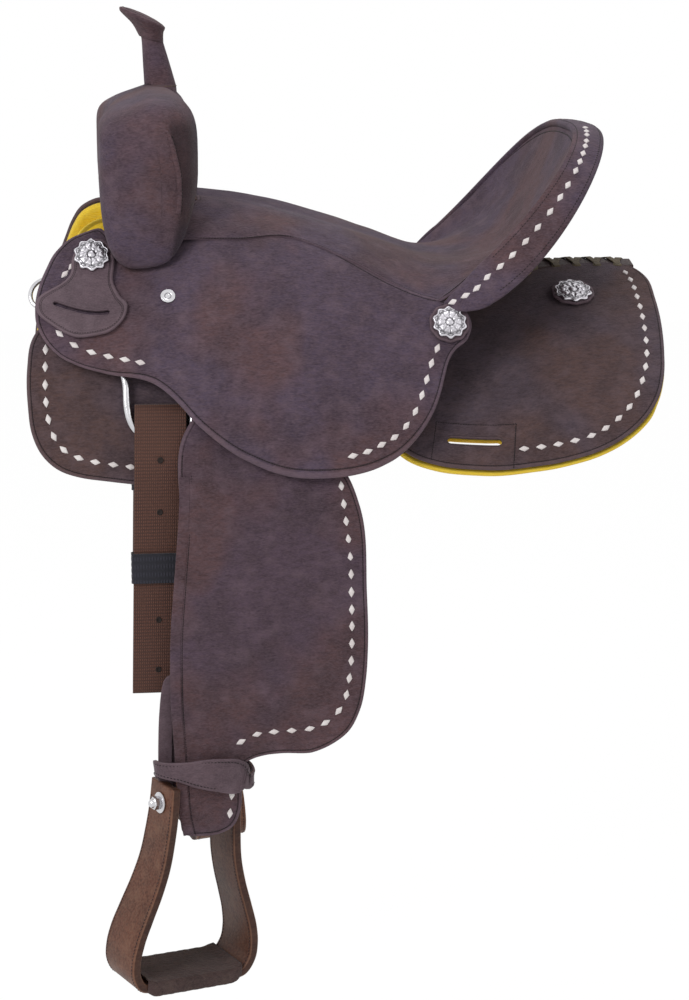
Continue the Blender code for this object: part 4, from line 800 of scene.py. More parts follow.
def strap(name, rows, thickness, look, body, side=NEAR, nodes=(), corner=1.0,
          tip=0.0):
    """A strap along rows of (edge, middle, edge) points, with rounded edges.

    Its width is the distance between the edges. The last part, as long as the tip, narrows
    to a round point. The UV map holds the place across and along it.
    """
    dense, along = strap_rows(rows)
    middle = dense.mean(1)
    across = dense[:, -1] - dense[:, 0]
    half = np.linalg.norm(across, axis=1) / 2
    across /= 2 * half[:, None]
    if tip:
        left = np.clip((along[-1] - along) / tip, 0.0, 1.0)
        half = half * np.sqrt(np.clip(1 - (1 - left) ** 2, 0.01, 1))
    ahead = units(np.gradient(middle, axis=0))
    normal = units(np.cross(across, ahead))
    section = rounded(1.0, 1.0, 0.49, 5)
    sides = section[:, 0] / np.abs(section[:, 0]).max()
    edge = np.array([rounded(h, thickness, corner) for h in half])
    loops = middle[:, None] + across[:, None] * edge[..., :1] + normal[:, None] * edge[..., 1:]
    uv = np.stack([edge[..., 0], np.broadcast_to(along[:, None], edge.shape[:2])], -1)
    rim = np.broadcast_to(np.abs(sides) > 0.97, edge.shape[:2]).astype(float)
    obj = loft(name, loops, look, body, side, nodes, uv=uv.reshape(-1, 2), edge=rim.ravel())
    return obj, (middle, across, normal, half)


def pillow(outline, rings):
    """A small closed bump: the outline scaled and raised ring by ring between two points."""
    outline = np.asarray(outline, float)
    n = len(outline)
    layers = [np.c_[outline * scale, np.full(n, height)] for scale, height in rings[1:-1]]
    points = np.concatenate(layers + [[(0, 0, rings[0][1])], [(0, 0, rings[-1][1])]])
    k, m, count = np.arange(n), np.roll(np.arange(n), -1), len(layers)
    faces = [np.stack([m, k, np.full(n, count * n)], -1)]
    for r in range(count - 1):
        faces.append(np.stack([r * n + k, r * n + m, (r + 1) * n + m, (r + 1) * n + k], -1))
    top = (count - 1) * n
    faces.append(np.stack([top + k, top + m, np.full(n, count * n + 1)], -1))
    return points, faces


STITCH = pillow(
    [(1.35, 0.12), (0.8, 0.46), (-0.8, 0.46), (-1.35, 0.12), (-1.35, -0.12), (-0.8, -0.46),
     (0.8, -0.46), (1.35, -0.12)],
    ((0, -0.5), (1, -0.2), (0.85, 0.32), (0, 0.5)),
)
DIAMOND = pillow(
    [(5.6, 0), (3.0, 1.6), (0, 3.0), (-3.0, 1.6), (-5.6, 0), (-3.0, -1.6), (0, -3.0), (3.0, -1.6)],
    ((0, -0.9), (0.94, -0.6), (1, 0.2), (0.86, 0.85), (0.45, 1.2), (0, 1.3)),
)


def scatter(name, shape, places, ahead, normals, look, body, side=NEAR):
    """Copies of a small shape in one mesh, each turned to its direction and its normal."""
    points, faces = shape
    ahead = units(ahead - normals * np.sum(ahead * normals, 1)[:, None])
    frames = np.stack([ahead, np.cross(normals, ahead), normals], 1)
    all_points = places[:, None] + np.einsum("pk,nkj->npj", points, frames)
    shift = (np.arange(len(places)) * len(points))[:, None, None]
    all_faces = [(block[None] + shift).reshape(-1, block.shape[1]) for block in faces]
    return piece(name, all_points.reshape(-1, 3), all_faces, look, body, side)


def stitches(name, run, facing, body, side=NEAR, look=THREAD, ring=False):
    """A stitch at every point of a run, facing as told; a ring's last leads to its first."""
    ahead = np.roll(run, -1, 0) - run if ring else np.gradient(run, axis=0)
    return scatter(name, STITCH, run, ahead, facing, look, body, side)


def on_line(line, spacing, place, height):
    """Even places along a flat line laid on its surface, their directions and normals."""
    flat = evenly(np.asarray(line, float), 1.0)
    solid = place(flat[:, 0], flat[:, 1], np.full(len(flat), float(height)))
    both = evenly(np.c_[solid, flat], spacing)
    above = place(both[:, 3], both[:, 4], np.full(len(both), height + 1.0))
    places = place(both[:, 3], both[:, 4], np.full(len(both), float(height)))
    normals = units(above - places)
    return places, np.gradient(places, axis=0), normals, both[:, 3:5]


STITCH_PITCH = 3.5


def sew(name, flat, place, thickness, body, side=NEAR, keep=None, depth=GROOVE_INSET):
    """A row of stitches in the groove round a panel's edge, where keep(u, v) allows it."""
    loop = stepped_in(flat["loops"][0], depth)
    line = np.concatenate([loop, loop[:1]])
    places, ahead, normals, plan = on_line(line, STITCH_PITCH, place, thickness - 0.35)
    if keep is not None:
        wanted = keep(plan[:, 0], plan[:, 1])
        places, ahead, normals = places[wanted], ahead[wanted], normals[wanted]
    return scatter(name, STITCH, places[:-1], ahead[:-1], normals[:-1], THREAD, body, side)


def sew_line(name, line, place, height, body, side=NEAR):
    """A row of stitches along any flat line on a surface."""
    places, _, normals, _ = on_line(line, STITCH_PITCH, place, height)
    return stitches(name, places, normals, body, side)


def buckstitch(name, line, count, place, height, body, side=NEAR):
    """White lace diamonds, count of them, evenly along a flat line on a surface."""
    smooth = np.asarray(line, float)
    length = lengths(smooth)
    smooth = smooth_table(length, smooth, np.linspace(0, length[-1], 400))
    places, ahead, normals, _ = on_line(smooth, 1.0, place, height)
    at = np.linspace(0, len(places) - 1, count).round().astype(int)
    scatter(name, DIAMOND, places[at], ahead[at], normals[at], BUCKSTITCH, body, side)


for label, (_, blocks) in (("stitch", STITCH), ("diamond", DIAMOND)):
    print(label, "faces", sum(len(block) for block in blocks))

# %% [markdown]
# ## Skirts and lining
# The two skirts are the large panels on the horse's back. Each is one thickness of skirting
# leather over a lining of pressed felt, glued and sewn together round the edge, and the felt
# shows as a yellow line below the rear lobe. White lace runs through slits along the front
# and rear edges. A slot through both lets the rear cinch strap through.

# %% Skirts
SKIRT_OUTLINE = (
    (305, 24), (313, 46), (314, 92), (312.5, 132), (309, 167), (304, 197), (295, 222),
    (285, 237), (268, 254), (248, 267), (224, 276), (193, 279), (158, 275), (108, 267),
    (71, 259), (44, 249), (26, 236), (8, 222), (-22, 213), (-70, 212), (-112, 226),
    (-138, 256), (-152, 300), (-170, 345), (-195, 366), (-230, 373), (-254, 373),
    (-282, 367.5), (-302, 357.5), (-319, 339), (-328, 317), (-331, 292), (-331, 254),
    (-326, 227), (-315, 202), (-304, 178), (-294, 153), (-286, 130), (-276, 112),
    (-264, 103), (-225, 95), (-160, 84), (-80, 62), (0, 40), (80, 26), (180, 24),
)
LINING_EDGE = 1.2
LINING_SHOWN = 3.4
LINING_TUCK = -1.5
REAR_SLOT = (109, 239)
REAR_SLOT_TURN = 0.18


def turned_flat(flat, turn, middle):
    """Flat points turned by an angle and moved to their middle."""
    spin = np.array([(cos(turn), sin(turn)), (-sin(turn), cos(turn))])
    return flat @ spin + middle


def stadium(middle, length, width, turn=0.0):
    """A slot's outline with round ends, and points along its straight sides."""
    angle = np.linspace(-pi / 2, pi / 2, 7)
    straight = (length - width) / 2
    arc = np.stack([straight + width / 2 * np.cos(angle), width / 2 * np.sin(angle)], -1)
    along = np.linspace(straight, -straight, 16)[1:-1]
    half = np.concatenate([arc, np.stack([along, np.full(14, width / 2)], -1)])
    return turned_flat(np.concatenate([half, -half]), turn, middle)


def grown(outline, amount):
    """The outline moved outwards by the amount at each point."""
    loop = closed_curve(outline)
    reach = np.array([amount(u, v) for u, v in loop])
    reach = eased(reach, 8)
    ahead = units(np.roll(loop, -1, 0) - np.roll(loop, 1, 0))
    return loop + np.stack([ahead[:, 1], -ahead[:, 0]], -1) * reach[:, None]


def lining_reach(u, v):
    """How far the felt reaches past the leather: furthest below the rear lobe."""
    if 30 < u < 290 and v > 200:
        return LINING_SHOWN
    return LINING_EDGE if u > -120 else LINING_TUCK


def on_skirt(u, v, height):
    return back_surface(u, v, SKIRT_LIFT + height)


SLOT = stadium(REAR_SLOT, 54, 6.0, REAR_SLOT_TURN)
# The skirt's leather is cut back at its top front corner, so that the lining shows there
FRONT_CUT = {
    (-315, 202): (-312, 209), (-304, 178): (-292, 193), (-294, 153): (-272, 172),
    (-286, 130): (-258, 146), (-276, 112): (-250, 118), (-264, 103): (-244, 101),
}
FAR_TRIM = 3.0
FAR_SETBACK = 16.0


def trimmed(outline, side):
    """The outline, with the far side's front a little further back below its top corner."""
    flat = np.array(outline, float)
    share = ramp(-262 - flat[:, 0], 30) * ramp(flat[:, 1] - 160, 40)
    share *= ramp(290 - flat[:, 1], 40)
    flat[:, 0] += FAR_TRIM * share * (side == FAR)
    return flat


def set_back(line, side):
    """A flat line of the jockey, the far one's front moved back behind the lining."""
    flat = np.array(line, float)
    share = ramp(-238 - flat[:, 0], 30) * ramp(200 - flat[:, 1], 40)
    flat[:, 0] += FAR_SETBACK * share * (side == FAR)
    return flat


LEATHER_OUTLINE = {NEAR: [FRONT_CUT.get(point, point) for point in SKIRT_OUTLINE],
                   FAR: SKIRT_OUTLINE}
LINING_NET = 9.0
SKIRT_FLAT, LINING_FLAT = {}, {}
for _, side in SIDES:
    SKIRT_FLAT[side] = cut_out(trimmed(LEATHER_OUTLINE[side], side), [SLOT])
    felt_outline = grown(trimmed(SKIRT_OUTLINE, side), lining_reach)
    LINING_FLAT[side] = cut_out(felt_outline, [SLOT], LINING_NET)
# Stitched patch that strengthens the slot, turned with it
PATCH_CORNERS = np.array([(-41, 22), (-40, -17), (39, -17), (41, 26)])
PATCH = turned_flat(PATCH_CORNERS, REAR_SLOT_TURN, REAR_SLOT)
FRONT_LACE = (
    (-312.6, 239.6), (-313.4, 262), (-313.3, 289.3), (-311.2, 307.5), (-306, 325),
    (-295.8, 339.7), (-280.4, 349.5), (-264.3, 354.4), (-246.8, 356.5), (-232.1, 356.5),
)
REAR_LACE = (
    (292.8, 39.4), (295, 60), (294.9, 83.5), (293.5, 133.9), (286.5, 186.4), (264.8, 230.5),
    (223.5, 258.5), (188, 261), (156.3, 256.4),
)
for word, side in SIDES:
    panel(f"lining_{word}", LINING_FLAT[side], back_surface, LINING, FELT, "saddle", side,
          [f"skirt_lining_{word}"], 0.3, 0.0)
    panel(f"skirt_panel_{word}", SKIRT_FLAT[side], on_skirt, SKIRT, SKIRT_HIDE, "saddle", side,
          [f"skirt_{word}"], 0.7)
    sew(f"skirt_stitching_{word}", SKIRT_FLAT[side], on_skirt, SKIRT, "saddle", side,
        lambda u, v: v > 40)
    sew_line(f"slot_patch_stitching_{word}", PATCH, on_skirt, SKIRT - 0.1, "saddle", side)
    buckstitch(f"skirt_front_lace_{word}", FRONT_LACE, 11, on_skirt, SKIRT, "saddle", side)
    buckstitch(f"skirt_rear_lace_{word}", REAR_LACE, 20, on_skirt, SKIRT, "saddle", side)
print("skirt net", len(SKIRT_FLAT[NEAR]["points"]), "points")

# %% [markdown]
# ## Lacing behind the cantle
# The two skirts are joined along the ridge by a strip of leather with lace drawn through
# both, over and under, and tied off behind the cantle. The strip is a short loft over the
# ridge, and each strand of lace is an arched band with its ends tucked into the skirt.

# %% Skirt lace
LACE_HALF = 22.0
STRIP_TOP = 5.0
STRIP_POINTS = 15
# Each strand: half its length, its rise in the middle, the drop of its tucked ends, its lean
STRAND_HALF = 26
STRAND_POINTS = 25
STRAND_RISE = 0.7
STRAND_TUCK = 3.4
STRAND_LEAN = 6.5


def ridge(x, y, lift):
    """Points over the ridge: x along it and y across, both sides on the skirts."""
    point = back_surface(x, np.abs(y) / cos(radians(9)), SKIRT_LIFT + lift)
    point[:, 1] = y
    return point


strip = []
for x in np.linspace(198, 306, 28):
    y = np.linspace(-LACE_HALF, LACE_HALF, STRIP_POINTS)
    row = np.full(STRIP_POINTS, x)
    strip.append(np.concatenate([ridge(row, y, STRIP_TOP), ridge(row, y[::-1], 0.2)]))
# The strip takes the darker leather, which partly paints the shade of the lacing's opening
loft("lace_strip", strip, HIDDEN_HIDE, "saddle", nodes=["skirt_lace"])
for number, x in enumerate(np.arange(206, 300, 11.0)):
    y = np.linspace(-STRAND_HALF, STRAND_HALF, STRAND_POINTS)
    arch = STRIP_TOP + STRAND_RISE * np.sqrt(np.clip(1 - (y / STRAND_HALF) ** 2, 0, 1))
    arch = arch - STRAND_TUCK * (np.abs(y) > STRAND_HALF - 1)
    lean = STRAND_LEAN * np.sin(y / STRAND_HALF * pi / 2) * (-1) ** number
    path = ridge(x + lean, y, arch + STRAND_RISE * (number % 2))
    band = sweep(path, np.tile((0, 0, 1.0), (STRAND_POINTS, 1)), rounded(3.6, 1.5, 0.6))
    loft(f"lace_strand_{number}", band, LACE, "saddle")

# %% [markdown]
# ## Jockeys and seat
# The seat jockey is the large leaf below the seat that covers the bars and the top of the
# fender. The seat itself is soft leather over foam, drawn down to the jockeys and up to the
# cantle, so it gets a little fullness between its edges. Both are cut with the same groove.

# %% Seat jockeys and seat
JOCKEY_OUTLINE = (
    (-257, 0.045), (-272, 0.054), (-285, 0.074), (-301, 0.141), (-311, 0.234),
    (-319, 0.343), (-322, 0.449), (-320, 0.539), (-312, 0.605), (-299, 0.651),
    (-280, 0.672), (-261, 0.689), (-242, 0.721), (-213, 0.797), (-196, 0.854),
    (-181, 0.902), (-169, 0.934), (-154, 0.957), (-133, 0.975), (-111, 0.981),
    (-69, 0.981), (-39, 0.975), (-9, 0.967), (13, 0.960), (30, 0.952), (44, 0.938),
    (57, 0.916), (67, 0.888), (74, 0.852), (79, 0.812), (83, 0.782), (90, 0.756),
    (102, 0.735), (107.5, 0.700), (104, 0.640), (88, 0.590), (64, 0.562), (29, 0.508),
    (-9, 0.437), (-40, 0.392), (-68, 0.375), (-113, 0.400), (-140, 0.365), (-158, 0.345),
    (-176, 0.345), (-194, 0.345), (-212, 0.320), (-228, 0.262), (-238, 0.200),
    (-248, 0.090),
)
T_SCALE = 300.0


def on_jockey(u, v, height):
    return side_surface(u, np.asarray(v) / T_SCALE, np.asarray(height) - JOCKEY)


jockey_outline = [(x, t * T_SCALE) for x, t in JOCKEY_OUTLINE]
JOCKEY_FLAT = {side: cut_out(set_back(jockey_outline, side), net=5.0) for _, side in SIDES}
# The jockey's three runs of lace: name, number of diamonds and line
JOCKEY_LACES = (
    ("front", 6, ((-298.4, 163.2), (-287.9, 172.3), (-272.5, 179.3), (-255.7, 186.3),
                  (-238.9, 198.2), (-220.7, 215.7))),
    ("rear", 10, ((-16.5, 281.5), (-0.4, 279.4), (15, 276.6), (29, 273.8), (40.9, 268.2),
                  (49.3, 261.2), (55.6, 252.1), (60.5, 243), (65.4, 233.2), (71.7, 222.7))),
    ("top", 2, ((-285.1, 63.8), (-292.1, 75.7))),
)
for word, side in SIDES:
    panel(f"jockey_{word}", JOCKEY_FLAT[side], on_jockey, JOCKEY, ROUGHOUT, "saddle", side,
          [f"seat_jockey_{word}"], 0.5)
    sew(f"jockey_stitching_{word}", JOCKEY_FLAT[side], on_jockey, JOCKEY, "saddle", side)
    for label, count, line in JOCKEY_LACES:
        buckstitch(f"jockey_{label}_lace_{word}", set_back(line, side), count, on_jockey, JOCKEY,
                   "saddle", side)

SEAT_SCALE = 400.0
SEAT_EDGE = 398.0
FULLNESS = 1.2
SEAT_OVER = 2.2
FRONT_REACH = 20.0


def on_seat(u, v, height):
    """The seat's leather: a little fuller in its middle, where the foam pushes it up."""
    u, v = (np.clip(np.asarray(w) / SEAT_SCALE, low, 0.998) for w, low in ((u, 0.001), (v, -0.998)))
    middle = np.clip(1 - np.abs(v) ** 6, 0, 1) * np.clip(np.sin(pi * u) * 3, 0, 1)
    hem = SEAT_OVER * ramp(np.abs(v) - 0.8, 0.14) * ramp(0.6 - u, 0.12)
    height = np.asarray(height) - SEAT_LEATHER + FULLNESS * middle * (np.asarray(height) > 0) + hem
    points = seat_top(u, v, height)
    corner = ramp(np.abs(v) - 0.5, 0.3) * np.clip(1 - u / 0.3, 0, 1) ** 2
    points[:, 0] -= FRONT_REACH * corner
    return points


SEAT_FLAT = cut_out(
    [(u, v) for u in (0, 130, 265, SEAT_EDGE) for v in (-SEAT_EDGE,)]
    + [(SEAT_EDGE, v) for v in (-390, -265, -130, 0, 130, 265, 390)]
    + [(u, SEAT_EDGE) for u in (SEAT_EDGE, 265, 130, 0)]
    + [(0, v) for v in (390, 265, 130, 0, -130, -265, -390)],
    net=7.0,
)
seat = panel("seat", SEAT_FLAT, on_seat, SEAT_LEATHER, ROUGHOUT, "saddle",
             nodes=["seat_leather"], uneven=0.5)
sew("seat_stitching", SEAT_FLAT, on_seat, SEAT_LEATHER, "saddle", keep=lambda u, v: u > 20)

# %% [markdown]
# ## Fork and horn
# The fork, or swell, is carved wood covered with wet leather that is pulled over it and sewn
# down at the rear. Its form is a row of square-ish slices from one swell to the other, made
# dense here so that it turns smoothly. A raised welt runs down each swell where two covers
# meet. The horn is a steel post: a sewn wrap round the neck and a padded cap.

# %% Fork cover
FORK_EXPONENT = 3.4
FORK_BROW_EXPONENT = 7.0
FORK_WAIST = 58.0
FORK_BROW = 0.36
FORK_OVER_BAR = 22.2
FORK_OVER_SIDE = 2.4
FORK_ANGLES = np.radians(np.arange(0, 360, 6.0) - 66)
HORN_FRONT = -208.0
# The fork by distance from the middle: front, rear, top and the underside's height
# (None where it stands on the bars or over the jockey)
FORK = (
    (0, -243, -168, 193, 122),
    (30, -246, -165, 192.5, 117),
    (60, -250, -162, 191, 98),
    (77, -253, -160, 190, None),
    (86, -255, -159, 189, None),
    (108, -257, -158, 187.5, None),
    (128, -257, -162, 184, None),
    (141, -256, -167, 180, None),
    (149, -254, -175, 174, 25),
    (155, -249, -184, 164, 38),
    (159, -240, -195, 149, 58),
)


def power(value, exponent):
    """The value's size raised to the exponent, with its sign kept."""
    return np.sign(value) * np.abs(value) ** exponent


def fork_section(y, front, rear, top, under, inset):
    """One slice of the fork at a distance y from the middle, shrunk by the inset."""
    front, rear, top = front + inset, rear - inset, top - inset
    middle, half = (front + rear) / 2, (rear - front) / 2
    cosine, sine = np.cos(FORK_ANGLES), np.sin(FORK_ANGLES)
    exponent = np.where((cosine < 0) & (sine > 0), FORK_BROW_EXPONENT, FORK_EXPONENT)
    x = middle + half * power(cosine, 2 / exponent)
    waist = top - FORK_WAIST
    if under is None:
        out = np.full(len(x), abs(y))
        low = height_over(back_surface, x, out, 240, FORK_OVER_BAR)
        if abs(y) > 100:
            low = np.maximum(low, height_over(side_surface, x, out, 1.0, FORK_OVER_SIDE))
    else:
        low = np.full(len(x), float(under)) + inset
    lift = power(sine, 2 / exponent)
    peak = top - FORK_BROW * np.clip(HORN_FRONT - x, 0, None)
    z = np.where(lift > 0, waist + (peak - waist) * lift, waist + (waist - low) * lift)
    return np.stack([x, np.full(len(x), float(y)), z], -1)


fork_slices = [fork_section(-row[0], *row[1:], 0.0) for row in FORK[::-1]]
fork_slices += [fork_section(row[0], *row[1:], 0.0) for row in FORK[1:]]
slices = np.array(fork_slices)
end = slices[[0, -1]].mean(1, keepdims=True)
outwards = np.array([[[0, -1.0, 0]], [[0, 1.0, 0]]])
caps = [end + (slices[[0, -1]] - end) * part + outwards * out
        for part, out in ((0.93, 1.0), (0.8, 2.0), (0.5, 2.8))]
spread_rows = np.concatenate(
    [cap[:1] for cap in caps[::-1]] + [slices] + [cap[1:] for cap in caps])
stations = np.arange(len(spread_rows))
fork_loops = smooth_table(stations, spread_rows, np.linspace(0, stations[-1], 141))
# The welt down each swell, by height and place along X; the cover behind it, the swell's rear face,
# is darkened as painted shade
WELT_HEIGHTS = (28, 44, 59, 76, 94, 113, 130, 146, 157)
WELT_X = (-189.5, -187.0, -184.0, -180.0, -178.5, -179.0, -182.5, -185.8, -190.0)
welt_line = smooth_table(WELT_HEIGHTS, np.array(WELT_X)[:, None], fork_loops[..., 2].ravel())
# Painted shade: this mask darkens the swell's rear face, behind the welt and below its top, through
# the groove attribute
behind = ramp(fork_loops[..., 0].ravel() - welt_line[:, 0], 4)
behind *= ramp(172 - fork_loops[..., 2].ravel(), 14)
loft("fork_leather", fork_loops, ROUGHOUT, "saddle", nodes=["fork_cover"], groove=0.95 * behind)


def swell(x, z):
    """The near swell's surface at a place along X and a height: a mean of its nearest points."""
    cloud = fork_loops.reshape(-1, 3)
    cloud = cloud[cloud[:, 1] < -90]
    gap = (cloud[:, 0] - x) ** 2 + (cloud[:, 2] - z) ** 2
    nearest = np.argsort(gap)[:5]
    weight = 1 / (gap[nearest] + 0.5)
    return np.array((x, np.sum(cloud[nearest, 1] * weight) / weight.sum(), z))


heights = np.linspace(WELT_HEIGHTS[0], WELT_HEIGHTS[-1], 60)
welt = np.array([swell(x, z) for x, z in zip(np.interp(heights, WELT_HEIGHTS, WELT_X), heights)])
for _ in range(6):
    welt[1:-1] = 0.5 * welt[1:-1] + 0.25 * (welt[:-2] + welt[2:])
thin = np.sqrt(np.clip(1 - np.abs(np.linspace(-1, 1, 60)) ** 6, 0.02, 1))
bead = np.array([rounded(2.7 * part, 4.0 * part, 1.8 * part) for part in thin])
facing = np.tile((0.25, -1.0, 0.1), (60, 1)) / np.sqrt(1.0725)
for word, side in SIDES:
    loft(f"fork_welt_{word}", sweep(welt, facing, bead), ROUGHOUT, "saddle", side)
    for label, shift in (("front", -3.4), ("rear", 3.0)):
        run = evenly(welt[3:-3] + (shift, 0.35, 0), STITCH_PITCH)
        stitches(f"welt_{label}_stitching_{word}", run, np.tile(facing[0], (len(run), 1)),
                 "saddle", side)
print("fork loops", fork_loops.shape)

# %% Horn
# Horn outside, neck to cap: middle (x, z), half lengths along and across, tilt
HORN = (
    (-190.5, 189, 16.8, 17.0, 0),
    (-194.5, 214, 14.0, 14.8, 3),
    (-198.0, 236, 11.6, 13.2, 10),
    (-199.5, 242, 11.8, 13.6, 16),
    (-203.0, 249, 17.0, 19.5, 22),
    (-208.2, 256.8, 23.6, 24.8, 24.5),
    (-208.6, 259.6, 25.2, 26.2, 24.5),
    (-208.0, 262.4, 24.4, 25.4, 24.5),
    (-207.2, 264.6, 15.0, 16.0, 24.5),
    (-206.9, 265.4, 4.0, 4.0, 24.5),
)
HORN_SEAM = 3
CAP_RIM = 7
# How the cap's lowest slice differs from the neck's last: lower, longer and wider
CAP_FOOT = (-2.6, 1.0, 1.0)
# The cap's stitches lie inside its rim and a little above it
CAP_STITCH_IN, CAP_STITCH_UP, CAP_STITCH_BACK = 2.6, 0.9, 0.2


def horn_loop(row, count=64):
    """The horn's oval at a row of its table, tilted forwards."""
    x, z, along, across, tilt = row
    tilt = radians(tilt)
    angle = np.arange(count) * 2 * pi / count
    a, b = along * np.cos(angle), across * np.sin(angle)
    return np.stack([x + a * cos(tilt), b, z - a * sin(tilt)], -1)


def fork_top(x, y, lift):
    """The height of the fork's leather at plan points, raised by lift."""
    table = np.array([row[:4] for row in FORK], float)
    front, rear, top = (np.interp(np.abs(y), table[:, 0], table[:, k]) for k in (1, 2, 3))
    across = np.clip(np.abs((x - (front + rear) / 2) / ((rear - front) / 2)), 0, 1)
    peak = top - FORK_BROW * np.clip(HORN_FRONT - x, 0, None)
    rise = (1 - across**FORK_EXPONENT) ** (1 / FORK_EXPONENT)
    return top - FORK_WAIST + (peak - top + FORK_WAIST) * rise + lift


horn_rows = np.array(HORN)
neck = smooth_table(range(4), horn_rows[:HORN_SEAM + 1], np.linspace(0, HORN_SEAM, 22))
neck_loops = np.array([horn_loop(row) for row in neck])
foot = horn_loop((*neck[0][:2], neck[0][2] + 1.6, neck[0][3] + 1.6, 0))
for loop, lift in ((neck_loops[0], 1.2), (foot, -0.4)):
    loop[:, 2] = fork_top(loop[:, 0], loop[:, 1], lift)
neck_loops = np.concatenate([[foot], neck_loops])
loft("horn_neck", neck_loops, ROUGHOUT, "saddle", nodes=["horn_wrap"])
base = evenly(np.concatenate([neck_loops[2], neck_loops[2][:1]]), STITCH_PITCH)[:-1]
facing = units(base - base.mean(0))
stitches("horn_foot_stitching", base, facing, "saddle", look=LACE, ring=True)
cap = horn_rows[HORN_SEAM:].copy()
cap[0, 1:4] += CAP_FOOT
cap = smooth_table(range(len(cap)), cap, np.linspace(0, len(cap) - 1, 40))
loft("horn_cap", [horn_loop(row) for row in cap], ROUGHOUT, "saddle", nodes=["horn_cap_cover"])
rim_x, rim_z, rim_along, rim_across, tilt = horn_rows[CAP_RIM]
rim = horn_loop((rim_x - CAP_STITCH_BACK, rim_z + CAP_STITCH_UP, rim_along - CAP_STITCH_IN,
                 rim_across - CAP_STITCH_IN, tilt), 48)
up = np.tile((sin(radians(tilt)), 0, cos(radians(tilt))), (48, 1))
stitches("horn_cap_stitching", rim, up, "saddle", ring=True)
print("horn rows", len(neck), len(cap))

# %% [markdown]
# ## Cantle
# The cantle carries a rolled binding, the Cheyenne roll, along its rim: a flattened round of
# leather over filler, sewn down on both sides and laced in white along its middle. Behind it
# a cover closes the cantle's back down to the skirts.

# %% Cantle
def rim_frame(angle):
    """The roll's middle, width and the directions across it and out of it."""
    inner = cantle_line(angle, **CANTLE_SEAM)
    outer = cantle_line(angle, **CANTLE_RIM)
    step = 0.01
    along = cantle_line(min(angle + step, pi / 2), **CANTLE_SEAM)
    along = along - cantle_line(max(angle - step, -pi / 2), **CANTLE_SEAM)
    along /= np.linalg.norm(along)
    width = np.linalg.norm(outer - inner)
    across = (outer - inner) / width
    normal = np.cross(across, along)
    normal /= np.linalg.norm(normal)
    if normal[2] < 0:
        normal = -normal
    return (inner + outer) / 2, width, across, normal


ROLL_HALF = 5.2
ROLL_SINK = 0.6
ROLL_CLEAR = -2.4


def rim_section(angle, count=40):
    """The roll's slice: a flattened oval between the seat's seam and the rim."""
    middle, width, across, normal = rim_frame(angle)
    middle = middle + across * ROLL_CLEAR - normal * ROLL_SINK
    turn = np.arange(count) * 2 * pi / count
    a = (width / 2 - ROLL_CLEAR) * power(np.cos(turn), 0.8)
    b = ROLL_HALF * power(np.sin(turn), 0.8)
    return middle + across * a[:, None] + normal * b[:, None]


def cantle_back(angle, f, depth=0.0):
    """The cantle's back, f from 0 under the roll to 1 at its foot on the skirt."""
    middle, _, across, normal = rim_frame(angle)
    top = middle - normal * (ROLL_SINK + ROLL_HALF + 2.0) - across * 2.0
    foot_x = 95 + 101 * abs(cos(angle)) ** 0.8
    foot_y = -74 * float(power(np.array(sin(angle)), 0.8))
    lift = np.interp(abs(foot_y), (22, 34), (19.0, 31.0))
    ground = height_over(back_surface, foot_x, abs(foot_y), 240, lift)[0]
    point = top * (1 - f) + np.array((foot_x, foot_y, ground)) * f
    plan = np.array((cos(angle), -sin(angle), 0.0))
    return point - plan * depth


half = np.radians(np.concatenate([np.arange(0, 66, 2.0), np.linspace(66, 86, 12)]))
stations = np.concatenate([-half[:0:-1], half])
roll = np.array([rim_section(a) for a in stations])
# Each end of the roll narrows to a tongue that runs down to the seat concho
TONGUE = np.linspace(0, 1, 12)[1:]
TONGUE_TIP = (82.0, 0.612, 1.5)
TONGUE_SHRINK, TONGUE_POWER = 0.82, 1.6
TONGUE_BOW = 5.0


def tongue(end):
    """The tongue's middles, bowed a little outwards, from the roll's end to the tip."""
    tip = side_surface(*TONGUE_TIP)[0] * (1, -np.sign(end[1]), 1)
    bow = TONGUE_BOW * np.sin(pi * TONGUE)[:, None] * np.array((0.2, np.sign(end[1]), -0.2))
    return end + (tip - end) * TONGUE[:, None] + bow


def tongue_size(along):
    """The tongue's size at a part of its length, as a part of the roll's."""
    return 1 - TONGUE_SHRINK * along ** TONGUE_POWER


def tongue_loops(section):
    """Slices of the tongue: the roll's last slice, shrunk along it."""
    middle = section.mean(0)
    return tongue(middle)[:, None] + (section - middle) * tongue_size(TONGUE[:, None, None])


cantle_loops = np.concatenate([tongue_loops(roll[0])[::-1], roll, tongue_loops(roll[-1])])
cantle = loft("cantle_binding", cantle_loops, ROUGHOUT, "saddle", nodes=["cantle_roll"])


def on_roll(angle, share, lift):
    """A point on the roll's top: share runs from -1 at the seat's seam to 1 at the rim."""
    middle, width, across, normal = rim_frame(angle)
    height = ROLL_HALF * max(1 - abs(share) ** 2.5, 0.0) ** 0.4 - ROLL_SINK + lift
    return middle + across * (ROLL_CLEAR + share * (width / 2 - ROLL_CLEAR)) + normal * height


# The white lace on the roll: the diamonds' angles from the middle, their line a little inside
# the roll's crest, and the last three's places along the tongue
LACE_SHARE = -0.12
TONGUE_DIAMONDS = (0.28, 0.55, 0.82)
LACE_ANGLES = (12.5, 17, 21, 26.5, 30.5, 35.5, 40.5, 45.5, 52.5, 58, 64, 70, 75, 79.5, 83, 86)
angles = np.radians(LACE_ANGLES)
spots = np.array([on_roll(a, LACE_SHARE, 0.0) for a in angles])
above = np.array([on_roll(a, LACE_SHARE, 1.0) for a in angles]) - spots
last = min((roll[0], roll[-1]), key=lambda section: section[:, 1].mean())
share = np.array(TONGUE_DIAMONDS)
line = tongue(last.mean(0))
line = np.stack([np.interp(share, TONGUE, line[:, k]) for k in range(3)], -1)
rise = ROLL_HALF * tongue_size(share)
spots = np.concatenate([spots, line + above[-1] * rise[:, None]])
above = np.concatenate([above, np.tile(above[-1], (len(share), 1))])
